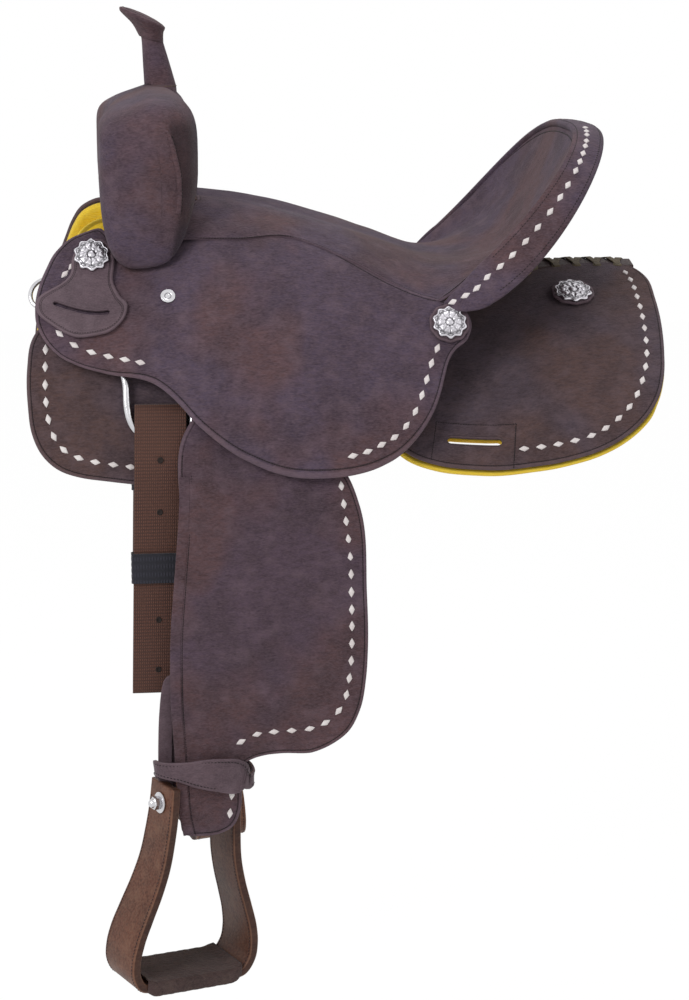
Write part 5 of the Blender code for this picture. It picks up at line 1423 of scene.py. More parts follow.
for word, side in SIDES:
    scatter(f"cantle_lace_{word}", DIAMOND, spots, np.gradient(spots, axis=0), above, BUCKSTITCH,
            "saddle", side)
    for label, share in (("seam", -0.72), ("rim", 0.74)):
        fine = np.radians(np.linspace(0, 84, 300))
        run = evenly(np.array([on_roll(a, share, -0.1) for a in fine]), STITCH_PITCH)
        spaced = np.interp(np.arange(len(run)), np.linspace(0, len(run) - 1, 300), fine)
        facing = np.array([rim_frame(a)[3] for a in spaced])
        stitches(f"cantle_{label}_stitching_{word}", run, facing, "saddle", side)
loops = []
for angle in np.radians(np.linspace(-62, 62, 63)):
    outside = [cantle_back(angle, f) for f in np.linspace(0.0, 1.0, 14)]
    inside_face = [cantle_back(angle, f, 2.4) for f in np.linspace(1.0, 0.0, 14)]
    loops.append(outside + inside_face)
loft("cantle_cover", loops, ROUGHOUT, "saddle", nodes=["cantle_back_cover"])
print("cantle rim at", spots[0].round(0))

# %% [markdown]
# ## Fenders, stirrup leathers and hobble straps
# The fender hangs between the skirt and the jockey and keeps the rider's leg off the
# stirrup leather behind it. It narrows to a neck that is turned with the stirrup, and its
# front edge is folded over and sewn. A hobble strap ties neck and leather together above the
# stirrup. Each side hangs at its own angle, as in the photograph.

# %% Fenders
FENDER_FRONT = (
    (-152, -66), (-166, -108), (-182, -136), (-186, -211), (-192, -280), (-196, -331),
    (-197, -390), (-195, -432),
)
# The far neck is hidden, turned with its stirrup, and modelled short
FENDER_NECK = {
    NEAR: (
        (-193, -470), (-191, -505), (-187, -528), (-170, -532), (-152, -532), (-138, -526),
        (-130, -509), (-129, -486), (-128, -471),
    ),
    FAR: ((-194, -462), (-190, -468), (-142, -468), (-136, -463)),
}
FENDER_REAR = (
    (-127, -463), (-119, -458), (-106, -454), (-90, -452), (-58, -450), (-38, -442),
    (-22, -430), (-10, -408), (-4, -378), (-2, -348), (-3, -290), (-9, -205), (-20, -176),
    (-56, -140), (-66, -66),
)
FENDER_LACE = (
    (-27.1, -185), (-22.9, -220.7), (-19.4, -255.7), (-18.7, -290), (-18.2, -327),
    (-19.4, -363.5), (-22.2, -383.1), (-26.4, -399.9), (-34.8, -411.8), (-48.1, -421.6),
    (-62.1, -425.8), (-87.3, -427.9), (-116, -431.4), (-129.3, -437.7),
)
NECK_LACE = ((-139.1, -492.3), (-141.2, -511.2))
# The folded edge: where its line starts, how far it lies from the fender's front edge, the
# strip's half width and thickness, and how far behind its line its stitches lie
FOLD_START = (-184.5, -172)
FOLD_INSET = (4.0, 0.0)
FOLD_HALF, FOLD_THICK = 5.2, 2.0
FOLD_STITCHES = (6.6, 0.0)
WEB_EDGE = -165.0

# How each side's stirrup hangs: the bolt's place, how far the stirrup is turned from
# the horse's side, how far its foot leans forward and how far the fender swings back
HANGERS = {
    NEAR: dict(bolt=(-174.0, -232.0, -500.0), yaw=28.0, lean=5.8, swing=0.0, neck=0.249),
    FAR: dict(bolt=(-174.0, -222.0, -500.0), yaw=80.0, lean=0.0, swing=3.0, neck=0.0),
}
SWING_PIVOT = (-110.0, -170.0, -40.0)


def swung(points, side):
    """The points turned back about the bar by the side's resting swing."""
    angle = radians(HANGERS[side]["swing"])
    points = np.asarray(points, float) - SWING_PIVOT
    x = points[..., 0] * cos(angle) - points[..., 2] * sin(angle)
    z = points[..., 0] * sin(angle) + points[..., 2] * cos(angle)
    return np.stack([x, points[..., 1], z], -1) + SWING_PIVOT


def hang(x, z, lift=0.0, neck=0.249):
    """The fender's inner face, which hangs between the skirt and the jockey."""
    x, z, lift = spread(x, z, lift)
    heights = (-560, -500, -440, -380, -260, -190, -150, -110, -66)
    over_web = (251, 251, 246, 239, 235.5, 227.5, 218.8, 206, 188)
    behind_web = (251, 251, 246, 239, 234.0, 222.5, 213, 200, 182)
    back = ramp(x - WEB_EDGE, 30)
    out = smooth_table(heights, over_web, z) * (1 - back)
    out = out + smooth_table(heights, behind_web, z) * back
    twist = smooth_table((-560, -495, -400, -60), (neck, neck, 0.0, 0.0), z)
    out = out + twist * (-170.0 - x) * ramp(-60 - x, 60)
    return np.stack([x, -(out + lift), z], -1)


for word, side in SIDES:
    neck_turn = HANGERS[side]["neck"]

    def on_fender(u, v, height, side=side, neck_turn=neck_turn):
        return swung(hang(u, v, height, neck_turn), side)

    outline = FENDER_FRONT + FENDER_NECK[side] + FENDER_REAR
    flat = cut_out(outline, net=5.5)
    body = f"fender_{word}"
    panel(f"fender_panel_{word}", flat, on_fender, FENDER, FENDER_HIDE, body, side,
          [f"fender_{word}"], 0.8)
    sew(f"fender_stitching_{word}", flat, on_fender, FENDER, body, side, lambda u, v: v < -150)
    fold = (FOLD_START,) + FENDER_FRONT[3:] + FENDER_NECK[side][:3]
    fold = np.array(fold, float) + FOLD_INSET
    line = smooth_table(np.arange(len(fold)), fold, np.linspace(0, len(fold) - 1, 160))
    line = evenly(line, 2.5)
    flat_line = on_fender(line[:, 0], line[:, 1], np.full(len(line), FENDER + 0.1))
    above = on_fender(line[:, 0], line[:, 1], np.full(len(line), FENDER + 1.1)) - flat_line
    strip = sweep(flat_line, above, rounded(FOLD_HALF, FOLD_THICK, 0.9))
    loft(f"fender_fold_{word}", strip, FENDER_HIDE, body, side)
    sew_line(f"fender_fold_stitching_{word}", line + FOLD_STITCHES, on_fender, FENDER - 0.2,
             body, side)
    buckstitch(f"fender_lace_{word}", FENDER_LACE, 20, on_fender, FENDER, body, side)
    if side == NEAR:
        buckstitch("neck_lace_near", NECK_LACE, 2, on_fender, FENDER, body)

# %% Stirrup leathers
ROLLER = 7.0
ROLLER_GAP = 0.8
STRAP_TURN = ROLLER + ROLLER_GAP + STRAP / 2
# The stirrup leather's middle line on each side, top to bottom: place along X, distance
# inside the fender's face, height, half width, and twist as a part of the yaw
LEATHER_RUN = {
    NEAR: (
        (-108, 4.6, -66, 33, 0), (-110, 4.6, -110, 33, 0), (-112, 4.6, -150, 33, 0),
        (-114, 4.6, -190, 33, 0), (-122, 4.6, -280, 32, 0), (-138, 5.2, -360, 31, 0.03),
        (-158, 9.5, -430, 28, 0.40), (-170, 11.0, -472, 25, 0.90),
    ),
    FAR: (
        (-108, 4.6, -66, 33, 0), (-110, 4.6, -110, 33, 0), (-112, 4.6, -150, 33, 0),
        (-114, 4.6, -190, 33, 0), (-122, 5.0, -280, 32, 0), (-138, 9.0, -350, 30, 0.06),
        (-155, 18, -410, 25, 0.34), (-163, 26, -450, 23, 0.74), (-165, 27, -476, 23, 0.97),
    ),
}
LOOP_HALF = 24.0

# Stirrup: half widths outside and their heights from the bolt, top to bottom
STIRRUP_HALF = (41, 41, 42.5, 46, 53, 62, 70, 73, 71.5, 62)
STIRRUP_DROP = (19, -12, -34, -62, -88, -113, -137, -155, -171, -184)
STIRRUP_BOTTOM = -191.0
STIRRUP_WOOD = 9.0


def stirrup_path():
    """The wood's middle line in the stirrup's plane, down one arm and up the other."""
    half = np.array(STIRRUP_HALF, float) - STIRRUP_WOOD / 2
    drop = np.array(STIRRUP_DROP, float)
    bottom = STIRRUP_BOTTOM + STIRRUP_WOOD / 2
    arm = list(zip(half, drop)) + [(50.0, bottom + 1.0)]
    floor = [(24.0, bottom), (0.0, bottom), (-24.0, bottom)]
    return np.array([(-a, z) for a, z in arm] + [(-a, z) for a, z in floor] + arm[::-1])


def stirrup_depth(z):
    """The stirrup's depth at a height from the bolt: it widens towards the floor."""
    return np.interp(z, (-200, -140, -60, 20), (60, 58, 50, 44))


def stirrup_axes(side):
    """The stirrup's own directions: along the bolt, away from the rider and up."""
    hanger = HANGERS[side]
    yaw, lean = radians(hanger["yaw"]), radians(hanger["lean"] - hanger["swing"])
    flat = np.array([(cos(yaw), sin(yaw), 0), (-sin(yaw), cos(yaw), 0), (0, 0, 1)])
    tilt = np.array([(cos(lean), 0, sin(lean)), (0, 1, 0), (-sin(lean), 0, cos(lean))])
    return flat @ tilt.T


def to_stirrup(side, u, w, z):
    """Points from the stirrup's own directions, measured from the bolt's middle."""
    u, w, z = spread(u, w, z)
    return swung(HANGERS[side]["bolt"], side) + np.stack([u, w, z], -1) @ stirrup_axes(side)


for word, side in SIDES:
    yaw = radians(HANGERS[side]["yaw"])
    lines = []
    for x, behind, z, half_width, twist in LEATHER_RUN[side]:
        middle = hang(x, z, -behind, 0.0)[0]
        across = np.array((cos(twist * yaw), sin(twist * yaw), 0)) * half_width
        lines.append(swung(np.array([middle - across, middle, middle + across]), side))
    for angle in np.radians(np.arange(0, 226, 25)):
        w, z = -STRAP_TURN * cos(angle), -STRAP_TURN * sin(angle)
        lines.append(np.array([to_stirrup(side, u, w, z)[0] for u in (-LOOP_HALF, 0, LOOP_HALF)]))
    strap(f"stirrup_strap_{word}", lines, STRAP, STRAP_HIDE, f"fender_{word}", side,
          [f"stirrup_leather_{word}"], 1.2)

# The end of the near stirrup leather, behind the fender's front edge and down into the loop
TAIL = ((-486, 9.4), (-440, 8.0), (-410, 7.0), (-385, 6.2), (-370, 5.8))
TAIL_FRONT = (-211.5, -211.0, -209.5, -206.5, -203.0)
TAIL_HALF = 7
# The two layers: how far each lies further in, further back, and how much lower it ends
TAIL_LAYERS = ((0.0, 0.0, 0.0), (3.6, 3.5, -14.0))
for layer, (drop, shift, down) in enumerate(TAIL_LAYERS):
    rows = []
    for (z, behind), x in zip(TAIL, TAIL_FRONT):
        across = np.array((x, x + TAIL_HALF, x + 2 * TAIL_HALF)) + shift
        rows.append(hang(across, z + (down if z > -380 else 0.0), -behind - drop, 0.0))
    strap(f"leather_tail_{layer}", rows, 3.0, STRAP_HIDE, "fender_near", tip=10.0)

# %% Hobble straps
HOBBLES = {
    NEAR: dict(middle=(-166, -243.5), half=(48.7, 20.5), turn=0.16),
    FAR: dict(middle=(-166, -231), half=(41.7, 39.0), turn=0.0),
}
HOBBLE_TOPS = {NEAR: (-452, -451, -449, -452, -465), FAR: (-455, -455, -456, -461, -470)}
HOBBLE_LOWS = {NEAR: (-467, -471, -481, -488, -486), FAR: (-471, -471, -472, -475, -481)}
# The strap's plain edges on the horse's side, how square its ring is, and how much more than
# its form the directions out of it look to the sides
HOBBLE_INNER_TOP, HOBBLE_INNER_LOW = -457, -474
HOBBLE_SQUARE = 0.85
HOBBLE_FACING = 2.2
HOBBLE_STITCH_INSET = 2.8
for word, side in SIDES:
    ring = HOBBLES[side]
    turn = np.linspace(0, 2 * pi, 120, endpoint=False)
    a = ring["half"][0] * power(np.cos(turn), HOBBLE_SQUARE)
    b = ring["half"][1] * power(np.sin(turn), HOBBLE_SQUARE)
    x = ring["middle"][0] + a * cos(ring["turn"]) - b * sin(ring["turn"])
    y = ring["middle"][1] + a * sin(ring["turn"]) + b * cos(ring["turn"])
    x, y = eased(x, 3), eased(y, 3)
    outside = np.clip(-3 * np.sin(turn) + 1, 0, 1)
    top, low = (np.interp(np.cos(turn), (-1, -0.5, 0, 0.5, 1), edge[side])
                for edge in (HOBBLE_TOPS, HOBBLE_LOWS))
    low = low * outside + HOBBLE_INNER_LOW * (1 - outside)
    bent = np.cos(turn) > 0.8
    plain = top * outside + HOBBLE_INNER_TOP * (1 - outside)
    top = np.where(bent, np.minimum(top, low + 15), plain)
    top, low = eased(top, 4), eased(low, 4)
    path = swung(np.stack([x, y, (top + low) / 2], -1), side)
    aside = (y - ring["middle"][1]) * HOBBLE_FACING
    outwards = units(np.stack([x - ring["middle"][0], aside, 0 * x], -1))
    section = np.array([rounded(h, STRAP, 1.1) for h in (top - low) / 2])
    loops = sweep(path, outwards, section, ring=True)
    rim = np.abs(section[..., 0]) > 0.96 * (top - low)[:, None] / 2
    loft(f"hobble_{word}", loops, STRAP_HIDE, f"fender_{word}", side, [f"hobble_strap_{word}"],
         ring=True, edge=rim.astype(float).ravel())
    for label, share in (("top", 1), ("low", -1)):
        reach = ((top - low) / 2 - HOBBLE_STITCH_INSET) * share
        run = path + np.stack([0 * x, 0 * x, reach], -1) + outwards * (STRAP / 2 - 0.1)
        run = evenly(np.concatenate([run, run[:1]]), STITCH_PITCH)[:-1]
        facing = run - run.mean(0)
        facing = units(facing * (1, HOBBLE_FACING, 0))
        stitches(f"hobble_{label}_stitching_{word}", run, facing, f"fender_{word}", side,
                 ring=True)
print("hobble length", round(float(np.linalg.norm(np.diff(path, axis=0), axis=1).sum())), "mm")

# %% [markdown]
# ## Stirrups
# Each stirrup is bent wood covered in smooth leather that is sewn along the edges, where it
# has rubbed pale. A leather tread is wrapped round the floor. A steel bolt with an acorn nut
# runs through both arms, and the stirrup leather turns on a roller round it.

# %% Stirrups
# The stitching leaves out this many points at each end of an arm
ARM_END = 8
TREAD_HALF = 55
# The tread's outer and inner skin: how far each lies below and above the wood, and its corner
TREAD_SKINS = ((2.8, 4.2, 3.4), (0.5, 1.4, 1.0))
for word, side in SIDES:
    path = stirrup_path()
    length = lengths(path)
    path = smooth_table(length, path, np.linspace(0, length[-1], 240))
    ahead = units(np.gradient(path, axis=0))
    inward = np.stack([-ahead[:, 1], ahead[:, 0]], -1)
    sewn = slice(ARM_END, -ARM_END)
    loops, rims, painted_shade = [], [], []
    for (u, z), (nu, nz) in zip(path, inward):
        section = rounded(stirrup_depth(z) / 2, STIRRUP_WOOD, 2.2, 6)
        w, t = section[:, 0], section[:, 1]
        loops.append(to_stirrup(side, u + nu * t, w, z + nz * t))
        corner = np.abs(np.abs(w) - np.abs(w).max() + 0.65) < 0.5
        rims.append(corner.astype(float))
        # Painted shade: the inner face, turned into the stirrup's opening, is darkened part way and
        # the narrow front and rear faces fully, through the groove attribute
        inner_face_shade = np.where(t > 0, 0.6, 0.0)
        painted_shade.append(np.where(np.abs(w) > np.abs(w).max() - 0.2, 1.0, inner_face_shade))
    loft(f"stirrup_frame_{word}", loops, STIRRUP_HIDE, f"stirrup_{word}", side,
         [f"stirrup_{word}"], edge=np.array(rims).ravel(), groove=np.array(painted_shade).ravel())
    for label, face in (("front", -1), ("rear", 1)):
        for edge_name, t in (("outer", -STIRRUP_WOOD / 2), ("inner", STIRRUP_WOOD / 2)):
            w = face * (stirrup_depth(path[sewn, 1]) / 2 - 3.4)
            lean = inward[sewn] * t
            u, z = (path[sewn] + lean).T
            line = to_stirrup(side, u, w, z)
            run = evenly(line, STITCH_PITCH)
            out = to_stirrup(side, u + lean[:, 0], w, z + lean[:, 1]) - line
            out = units(out[np.linspace(0, len(out) - 1, len(run)).round().astype(int)])
            stitches(f"stirrup_{label}_{edge_name}_stitching_{word}", run, out,
                     f"stirrup_{word}", side)
    half_depth = stirrup_depth(STIRRUP_BOTTOM) / 2
    floor_top = STIRRUP_BOTTOM + STIRRUP_WOOD
    skins = ([], [])
    for u in np.linspace(-TREAD_HALF, TREAD_HALF, 56):
        # Uneven along the floor, thinner at its ends, and curled up the arms
        fat = 0.15 * sin(u * 0.4) + 0.1 * sin(u * 0.9) - 2.2 * max((abs(u) - 45) / 10, 0) ** 2
        curl = 5.0 * max((abs(u) - 42) / 13, 0) ** 2
        for skin, (below, above, corner), more in zip(skins, TREAD_SKINS, (fat, 0.0)):
            middle_z = (STIRRUP_BOTTOM - below + floor_top + above) / 2
            high = STIRRUP_WOOD + below + above + more
            w, z = rounded(half_depth + below + more, high, corner, 7).T
            skin.append(to_stirrup(side, u, w, z + middle_z + curl))
    loft(f"tread_wrap_{word}", wall(*skins), TREAD_HIDE, f"stirrup_{word}", side,
         [f"stirrup_tread_{word}"], ring=True)

# %% Bolt with its acorn nut and washers
HEX = 6
# Radius, height over the arm's outside and whether six sided: acorn, nut, washer and shank
BOLT_NEAR_END = (
    (0.2, 13.5, 0), (1.6, 13.2, 0), (2.9, 12.5, 0), (3.9, 11.3, 0), (4.5, 9.9, 0),
    (5.2, 9.2, 1), (6.8, 8.2, 1), (6.8, 2.6, 1), (6.2, 2.1, 1),
    (9.8, 2.1, 0), (10.5, 1.6, 0), (10.5, 0.6, 0), (9.8, 0.3, 0), (5.0, 0.3, 0),
)
# Radius and height over the other arm's outside: the shank's end, washer and head
BOLT_HEAD = (
    (5.0, 0.3), (9.8, 0.3), (10.5, 0.8), (10.5, 1.7), (9.4, 2.1), (7.2, 2.3), (6.6, 4.0),
    (4.8, 5.4), (0.3, 6.2),
)
for word, side in SIDES:
    arm = STIRRUP_HALF[0]
    rows = [(r, arm + h, flat) for r, h, flat in BOLT_NEAR_END]
    rows += [(r, -arm - h, 0) for r, h in BOLT_HEAD]
    turn = np.arange(48) * 2 * pi / 48
    facet = cos(pi / HEX) / np.cos((turn % (2 * pi / HEX)) - pi / HEX)
    loops = []
    for radius, height, flat in rows:
        r = radius * (facet if flat else 1.0)
        loops.append(to_stirrup(side, -height, r * np.cos(turn), r * np.sin(turn)))
    bolt = loft(f"bolt_{word}", loops, STEEL, f"stirrup_{word}", side, [f"stirrup_bolt_{word}"])
    bolt.data.set_sharp_from_angle(angle=radians(38))
    in_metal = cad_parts[f"stirrup_roller_{word}"].data.materials
    in_metal.clear()
    in_metal.append(STEEL)
print("bolt at", to_stirrup(NEAR, 0, 0, 0)[0].round(1))

# %% [markdown]
# ## Rigging
# Under the front of each jockey hangs a flat plate dee of steel. A strip of leather folds
# round its straight bar and is sewn to the skirt, and a doubled nylon strap for the cinch
# runs over its curved side, held by an elastic keeper that slides on it. The strap is nylon
# tape with ribs across it and burnt holes down its middle.

# %% Rigging dees and leathers
# The dees' middles; the far one hangs a little further back, behind the near one
DEE_X = {NEAR: -203.0, FAR: -200.0}
DEE_LIFT = 21.8
DEE_WIRE = 4.0
DEE_HALF = 32.0
DEE_TOP, DEE_SIDE, DEE_BOTTOM = 262.0, 284.0, 326.0
RIGGING = 2.0
for word, side in SIDES:
    bar = [(DEE_X[side] + part * DEE_HALF, DEE_TOP) for part in (-1, -0.5, 0, 0.5, 1)]
    turn = np.linspace(0, pi, 21)
    bend = np.stack([DEE_X[side] + DEE_HALF * power(np.cos(turn), 0.6),
                     DEE_SIDE + (DEE_BOTTOM - DEE_SIDE) * np.sin(turn) ** 0.6], -1)
    ring = closed_curve(np.concatenate([bar, bend]), 2.0)
    path = back_surface(ring[:, 0], ring[:, 1], DEE_LIFT)
    out = back_surface(ring[:, 0], ring[:, 1], DEE_LIFT + 1) - path
    loft(f"dee_{word}", sweep(path, out, circle(DEE_WIRE, 20), ring=True), STEEL, "saddle", side,
         [f"rigging_dee_{word}"], ring=True)
    fold = DEE_WIRE + 0.4 + RIGGING / 2
    run = [(s, DEE_LIFT - fold) for s in (172, 195, 218, 240, DEE_TOP - 6)]
    run += [(DEE_TOP + fold * sin(t), DEE_LIFT - fold * cos(t)) for t in np.linspace(0, pi, 7)]
    run.append((DEE_TOP - 18, DEE_LIFT + 0.8))
    across = DEE_X[side] + np.array((-23.5, 0.0, 23.5))
    rows = [back_surface(across, s, lift) for s, lift in run]
    strap(f"dee_leather_{word}", rows, RIGGING, STRAP_HIDE, "saddle", side,
          [f"rigging_leather_{word}"], 0.8)

# %% Cinch straps and keepers
WEB_HALF = 25.3
WEB = 2.0
WEB_FOOT = -393.0
WEB_BACK, WEB_FRONT = -213.8, -217.0
# How far the strap's and the keeper's middles lie from the dee's on each side, and the strap's
# slant: forward for each millimetre down from its top
WEB_SHIFT = {NEAR: 1.0, FAR: 6.0}
KEEPER_SHIFT = {NEAR: -2.0, FAR: 3.0}
WEB_TOP, WEB_SLANT = -104, 0.026
KEEPER_TOP, KEEPER_FOOT = -250, -280


def at_height(x, z, lift):
    """The point over the skirt with the given place along X and height."""
    steps = np.linspace(200, 390, 200)
    line = back_surface(np.full(200, x), steps, lift)
    return np.array((x, np.interp(-z, -line[:, 2], line[:, 1]), z))


# Burnt holes down the strap, each with a ring of melted nylon round a dished middle
HOLES = (-157.0, -209.0, -263.0, -318.0, -369.0)
EYELET = pillow(circle(3.1, 20), ((0, -0.4), (1, -0.2), (1, 0.15), (0.86, 0.4), (0.66, 0.35),
                                  (0.5, 0.1), (0, 0.05)))
# The strap's turn over the dee: height and distance from the horse's back, up behind and down
# in front; and the heights of its straight runs, up and down
WEB_BEND = ((-168, 15.9), (-150, 15.9), (-134, 16.1), (-120, 16.6), (-110, 18.4),
            (-106, 21.9), (-110, 25.8), (-120, 27.1), (-134, 27.2), (-150, 27.4))
WEB_UP = (WEB_FOOT + 3, -290, -240, -214, -198)
WEB_DOWN = (-166, -186, -214, -240, -290, WEB_FOOT)
for word, side in SIDES:

    def across_at(z):
        middle = DEE_X[side] + WEB_SHIFT[side] + (z - WEB_TOP) * WEB_SLANT
        return middle + np.array((-WEB_HALF, 0.0, WEB_HALF))

    rows = [[(x, WEB_BACK, z) for x in across_at(z)] for z in WEB_UP]
    rows += [[at_height(x, z, lift) for x in across_at(z)] for z, lift in WEB_BEND]
    rows += [[(x, WEB_FRONT, z) for x in across_at(z)] for z in WEB_DOWN]
    strap(f"cinch_strap_{word}", rows, WEB, WEBBING, "saddle", side, [f"web_strap_{word}"], 0.8)
    eyelets = np.array([(across_at(z)[1], WEB_FRONT - WEB / 2, z) for z in HOLES])
    scatter(f"cinch_holes_{word}", EYELET, eyelets, np.tile((1.0, 0, 0), (len(HOLES), 1)),
            np.tile((0, -1.0, 0), (len(HOLES), 1)), BURNT, "saddle", side)
    middle = DEE_X[side] + KEEPER_SHIFT[side], (WEB_BACK + WEB_FRONT) / 2
    outer, inner = [], []
    for z in np.linspace(KEEPER_TOP, KEEPER_FOOT, 31):
        bulge = 0.35 * cos((z - KEEPER_TOP) * 1.05)
        band = rounded(28.7 + bulge * 0.4, 10.8 + bulge, 3.0, 6) + middle
        outer.append(np.c_[band, np.full(24, z)])
        inner.append(np.c_[rounded(27.3, 7.4, 1.6, 6) + middle, np.full(24, z)])
    loops = wall(outer, inner)
    uv = loops[..., [0, 2]]
    loft(f"keeper_{word}", loops, ELASTIC, f"keeper_{word}", side, [f"strap_keeper_{word}"],
         ring=True, uv=uv.reshape(-1, 2))
print("strap holes", len(HOLES))

# %% [markdown]
# ## Front rings and latigo holder
# A small welded ring for the breast collar shows between the front skirt and the jockey.
# The latigo holder is a flat leather leaf that swings under the near front concho, with one
# long slot and a plain sewn border.

# %% Front rings and latigo holder
FRONT_DEE = {NEAR: (-312.0, 184.0), FAR: (-294.0, 190.0)}
FRONT_DEE_RING = 14.5
FRONT_DEE_WIRE = 2.3
HOLDER_OUTLINE = (
    (-286, 0.245), (-321, 0.431), (-319, 0.480), (-305, 0.520), (-285, 0.548),
    (-264, 0.536), (-245, 0.528), (-235, 0.509), (-231.5, 0.474), (-239, 0.399),
    (-245, 0.317), (-243, 0.220), (-247, 0.150), (-256, 0.110), (-268, 0.105),
    (-279, 0.135), (-285, 0.185),
)
HOLDER = 4.4
HOLDER_LIFT = 0.9
FRONT_CONCHO = (-265.5, 0.181)
SEAT_CONCHO = (85.0, 0.676)
REAR_CONCHO = (228.0, 83.0)
JOCKEY_SCREW = (-192.0, 0.586)


def on_holder(u, v, height):
    return side_surface(u, np.asarray(v) / T_SCALE, HOLDER_LIFT + np.asarray(height))


for word, side in SIDES:
    x, s = FRONT_DEE[side]
    turn = np.linspace(0, 2 * pi, 64, endpoint=False)
    u, v = x + FRONT_DEE_RING * np.cos(turn), s + FRONT_DEE_RING * np.sin(turn)
    lift = SKIRT_TOP + FRONT_DEE_WIRE + 0.4
    path = back_surface(u, v, lift)
    loops = sweep(path, back_surface(u, v, lift + 1) - path, circle(FRONT_DEE_WIRE, 14), ring=True)
    loft(f"front_ring_{word}", loops, STEEL, "saddle", side, [f"front_dee_{word}"], ring=True)
holder_slot = stadium((-276.5, 0.429 * T_SCALE), 56, 5.0, 0.21)
HOLDER_FLAT = cut_out([(x, t * T_SCALE) for x, t in HOLDER_OUTLINE], [holder_slot], 4.0, 4.6)
panel("latigo_leaf", HOLDER_FLAT, on_holder, HOLDER, STRAP_HIDE, "latigo_holder",
      nodes=["latigo_holder"], uneven=0.2)
sew("latigo_border", HOLDER_FLAT, on_holder, HOLDER, "latigo_holder", depth=5.0)

# %% [markdown]
# ## Conchos, rosettes and screws
# The conchos are cast silver discs: a scalloped rim, a ring of beads, leaves, scrolls and a
# domed middle. The height of every point is one function of its distance from the middle and its
# angle, and the same function says where tarnish stays. Those of the seat and rear skirt sit
# on rounds of leather with pinked edges.

# %% Conchos
PETALS = 10


def band(r, middle, width):
    """1 on the circle of the middle radius, falling off over the width."""
    return np.exp(-((r - middle) / width) ** 2)


def concho_height(r, angle):
    """Height and tarnish over a disc of radius 1: rim, beads, leaves, scrolls and dome."""
    petal = np.abs(np.cos(angle * PETALS / 2))
    dome = 0.42 * np.sqrt(np.clip(1 - (r / 0.2) ** 2, 0, 1))
    scrolls = 0.2 * np.abs(np.sin(angle * PETALS / 2 + r * 14)) ** 0.5 * band(r, 0.34, 0.08)
    leaves = 0.30 * petal ** 0.6 * band(r, 0.55, 0.14)
    beads = 0.16 * np.abs(np.cos(angle * PETALS)) * band(r, 0.80, 0.045)
    rim = 0.22 * band(r, 0.93, 0.05)
    base = 0.55 * np.sqrt(np.clip(1 - (r * 0.97) ** 2, 0, 1))
    relief = dome + scrolls + leaves + beads + rim
    return base + relief, np.clip(1 - relief / 0.17, 0, 1) * (r < 0.97)


def disc(middle, normal, radius, height, thick, rays=96, rings=36, scallop=0.13,
         relief=concho_height):
    """Loops and tarnish of a raised disc with a scalloped rim, from its back to its middle."""
    ahead = np.cross(normal, (0, 0, 1.0))
    ahead /= np.linalg.norm(ahead)
    up = np.cross(ahead, normal)
    angle = np.arange(rays) * 2 * pi / rays
    wave = 1 - scallop * (0.5 + 0.5 * np.cos(angle * PETALS)) if scallop else np.ones(rays)
    spoke = np.cos(angle)[:, None] * ahead + np.sin(angle)[:, None] * up
    loops, marks = [], []
    for r in np.linspace(1.0, 0.02, rings):
        rise, deep = relief(np.full(rays, r), angle)
        reach = radius * r * (wave * r + 1 - r)
        loops.append(middle + spoke * reach[:, None] + normal * (thick + height * rise)[:, None])
        marks.append(deep)
    back = [middle + spoke * (radius * wave * part)[:, None] for part in (0.3, 1.0)]
    return np.concatenate([back, loops]), np.concatenate([np.zeros((2, rays)), marks])


def surface_frame(surface, u, v, lift):
    """A point over a surface and the direction straight out of it."""
    low, high = surface(u, v, lift)[0], surface(u, v, lift + 1)[0]
    return low, (high - low) / np.linalg.norm(high - low)


def rosette_height(r, angle):
    """A leather round: flat, a little dished, with a sewn line inside its edge."""
    groove = band(r, 0.86, 0.03)
    return 1.0 - 0.25 * groove, groove


def screw_height(r, angle):
    """A washer screw: a cup with a button in its middle and a dark groove round that."""
    cup = 1.0 - 0.55 * np.exp(-(r / 0.55) ** 4) + 0.35 * np.exp(-(r / 0.28) ** 4)
    return cup, band(r, 0.42, 0.06)


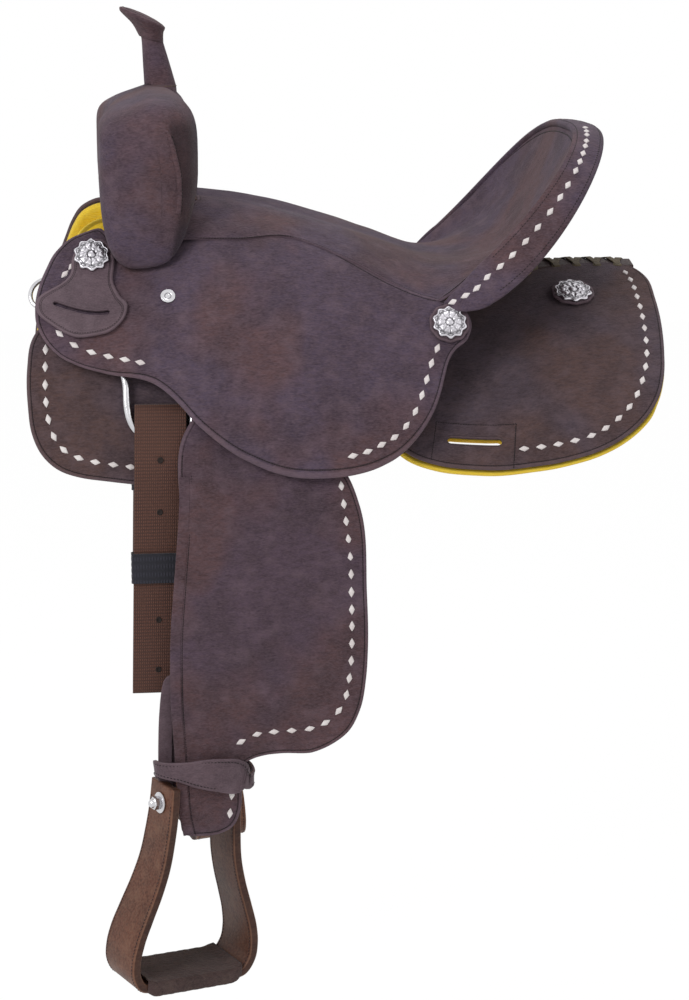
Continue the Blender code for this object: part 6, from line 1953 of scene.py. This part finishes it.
for word, side in SIDES:
    front_lift = HOLDER_LIFT + HOLDER + 0.9 if side == NEAR else 1.4
    places = (
        ("front", side_surface, FRONT_CONCHO, front_lift, 18.0, 0.0),
        ("seat", side_surface, SEAT_CONCHO, 1.6, 17.5, 20.5),
        ("rear", back_surface, REAR_CONCHO, SKIRT_TOP + 1.6, 20.0, 22.5),
    )
    for label, surface, place, lift, radius, round_radius in places:
        middle, normal = surface_frame(surface, *place, lift)
        if round_radius:
            loops, marks = disc(middle, normal, round_radius, 1.0, 1.4, 72, 14, 0.04,
                                rosette_height)
            loft(f"{label}_round_{word}", loops, STRAP_HIDE, "saddle", side,
                 [f"{label}_rosette_{word}"], groove=marks.ravel())
            middle = middle + normal * 2.5
        loops, marks = disc(middle, normal, radius, 3.0, 0.9)
        loft(f"{label}_silver_{word}", loops, ANTIQUE_SILVER, "saddle", side,
             [f"{label}_concho_{word}"], groove=marks.ravel())
    middle, normal = surface_frame(side_surface, *JOCKEY_SCREW, 1.2)
    loops, marks = disc(middle, normal, 7.2, 1.3, 0.5, 48, 18, 0.0, screw_height)
    loft(f"washer_screw_{word}", loops, STEEL, "saddle", side,
         [f"jockey_screw_{word}"], groove=marks.ravel())
print("concho points", loops.shape)

# %% [markdown]
# ## Hidden parts, floor and finish
# The tree, its ground seat and the horn's core stay inside and keep their CAD
# shapes with fitting materials, and the foam is hidden.

# %% Hidden parts, floor and finish
INNER = {"tree_bar_near": TREE, "tree_bar_far": TREE, "tree_fork": TREE, "tree_cantle": TREE,
         "ground_seat": TREE, "horn_core": STEEL}
for name, look in INNER.items():
    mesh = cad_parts[name].data
    mesh.materials.clear()
    mesh.materials.append(look)
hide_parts("seat_foam")
floor_look, tree = blank("studio_floor")
floor_shade = add(tree, "BsdfPrincipled", {"Base Color": WHITE, "Roughness": 0.9})
bright = add(tree, "Emission", {"Color": WHITE, "Strength": 1.03})
seen_white = scaled(tree, shown_white(tree), 0.93)
seen = add(tree, "MixShader", {0: seen_white, 1: floor_shade.outputs[0], 2: bright.outputs[0]})
add(tree, "OutputMaterial", {"Surface": seen.outputs[0]})
floor_mesh = bpy.data.meshes.new("floor")
corners = [(x * FLOOR_REACH, y * FLOOR_REACH, FLOOR)
           for x, y in ((-1, -1), (1, -1), (1, 1), (-1, 1))]
floor_mesh.from_pydata(corners, [], [(0, 1, 2, 3)])
floor_mesh.materials.append(floor_look)
floor = bpy.data.objects.new("floor", floor_mesh)
scene.collection.objects.link(floor)
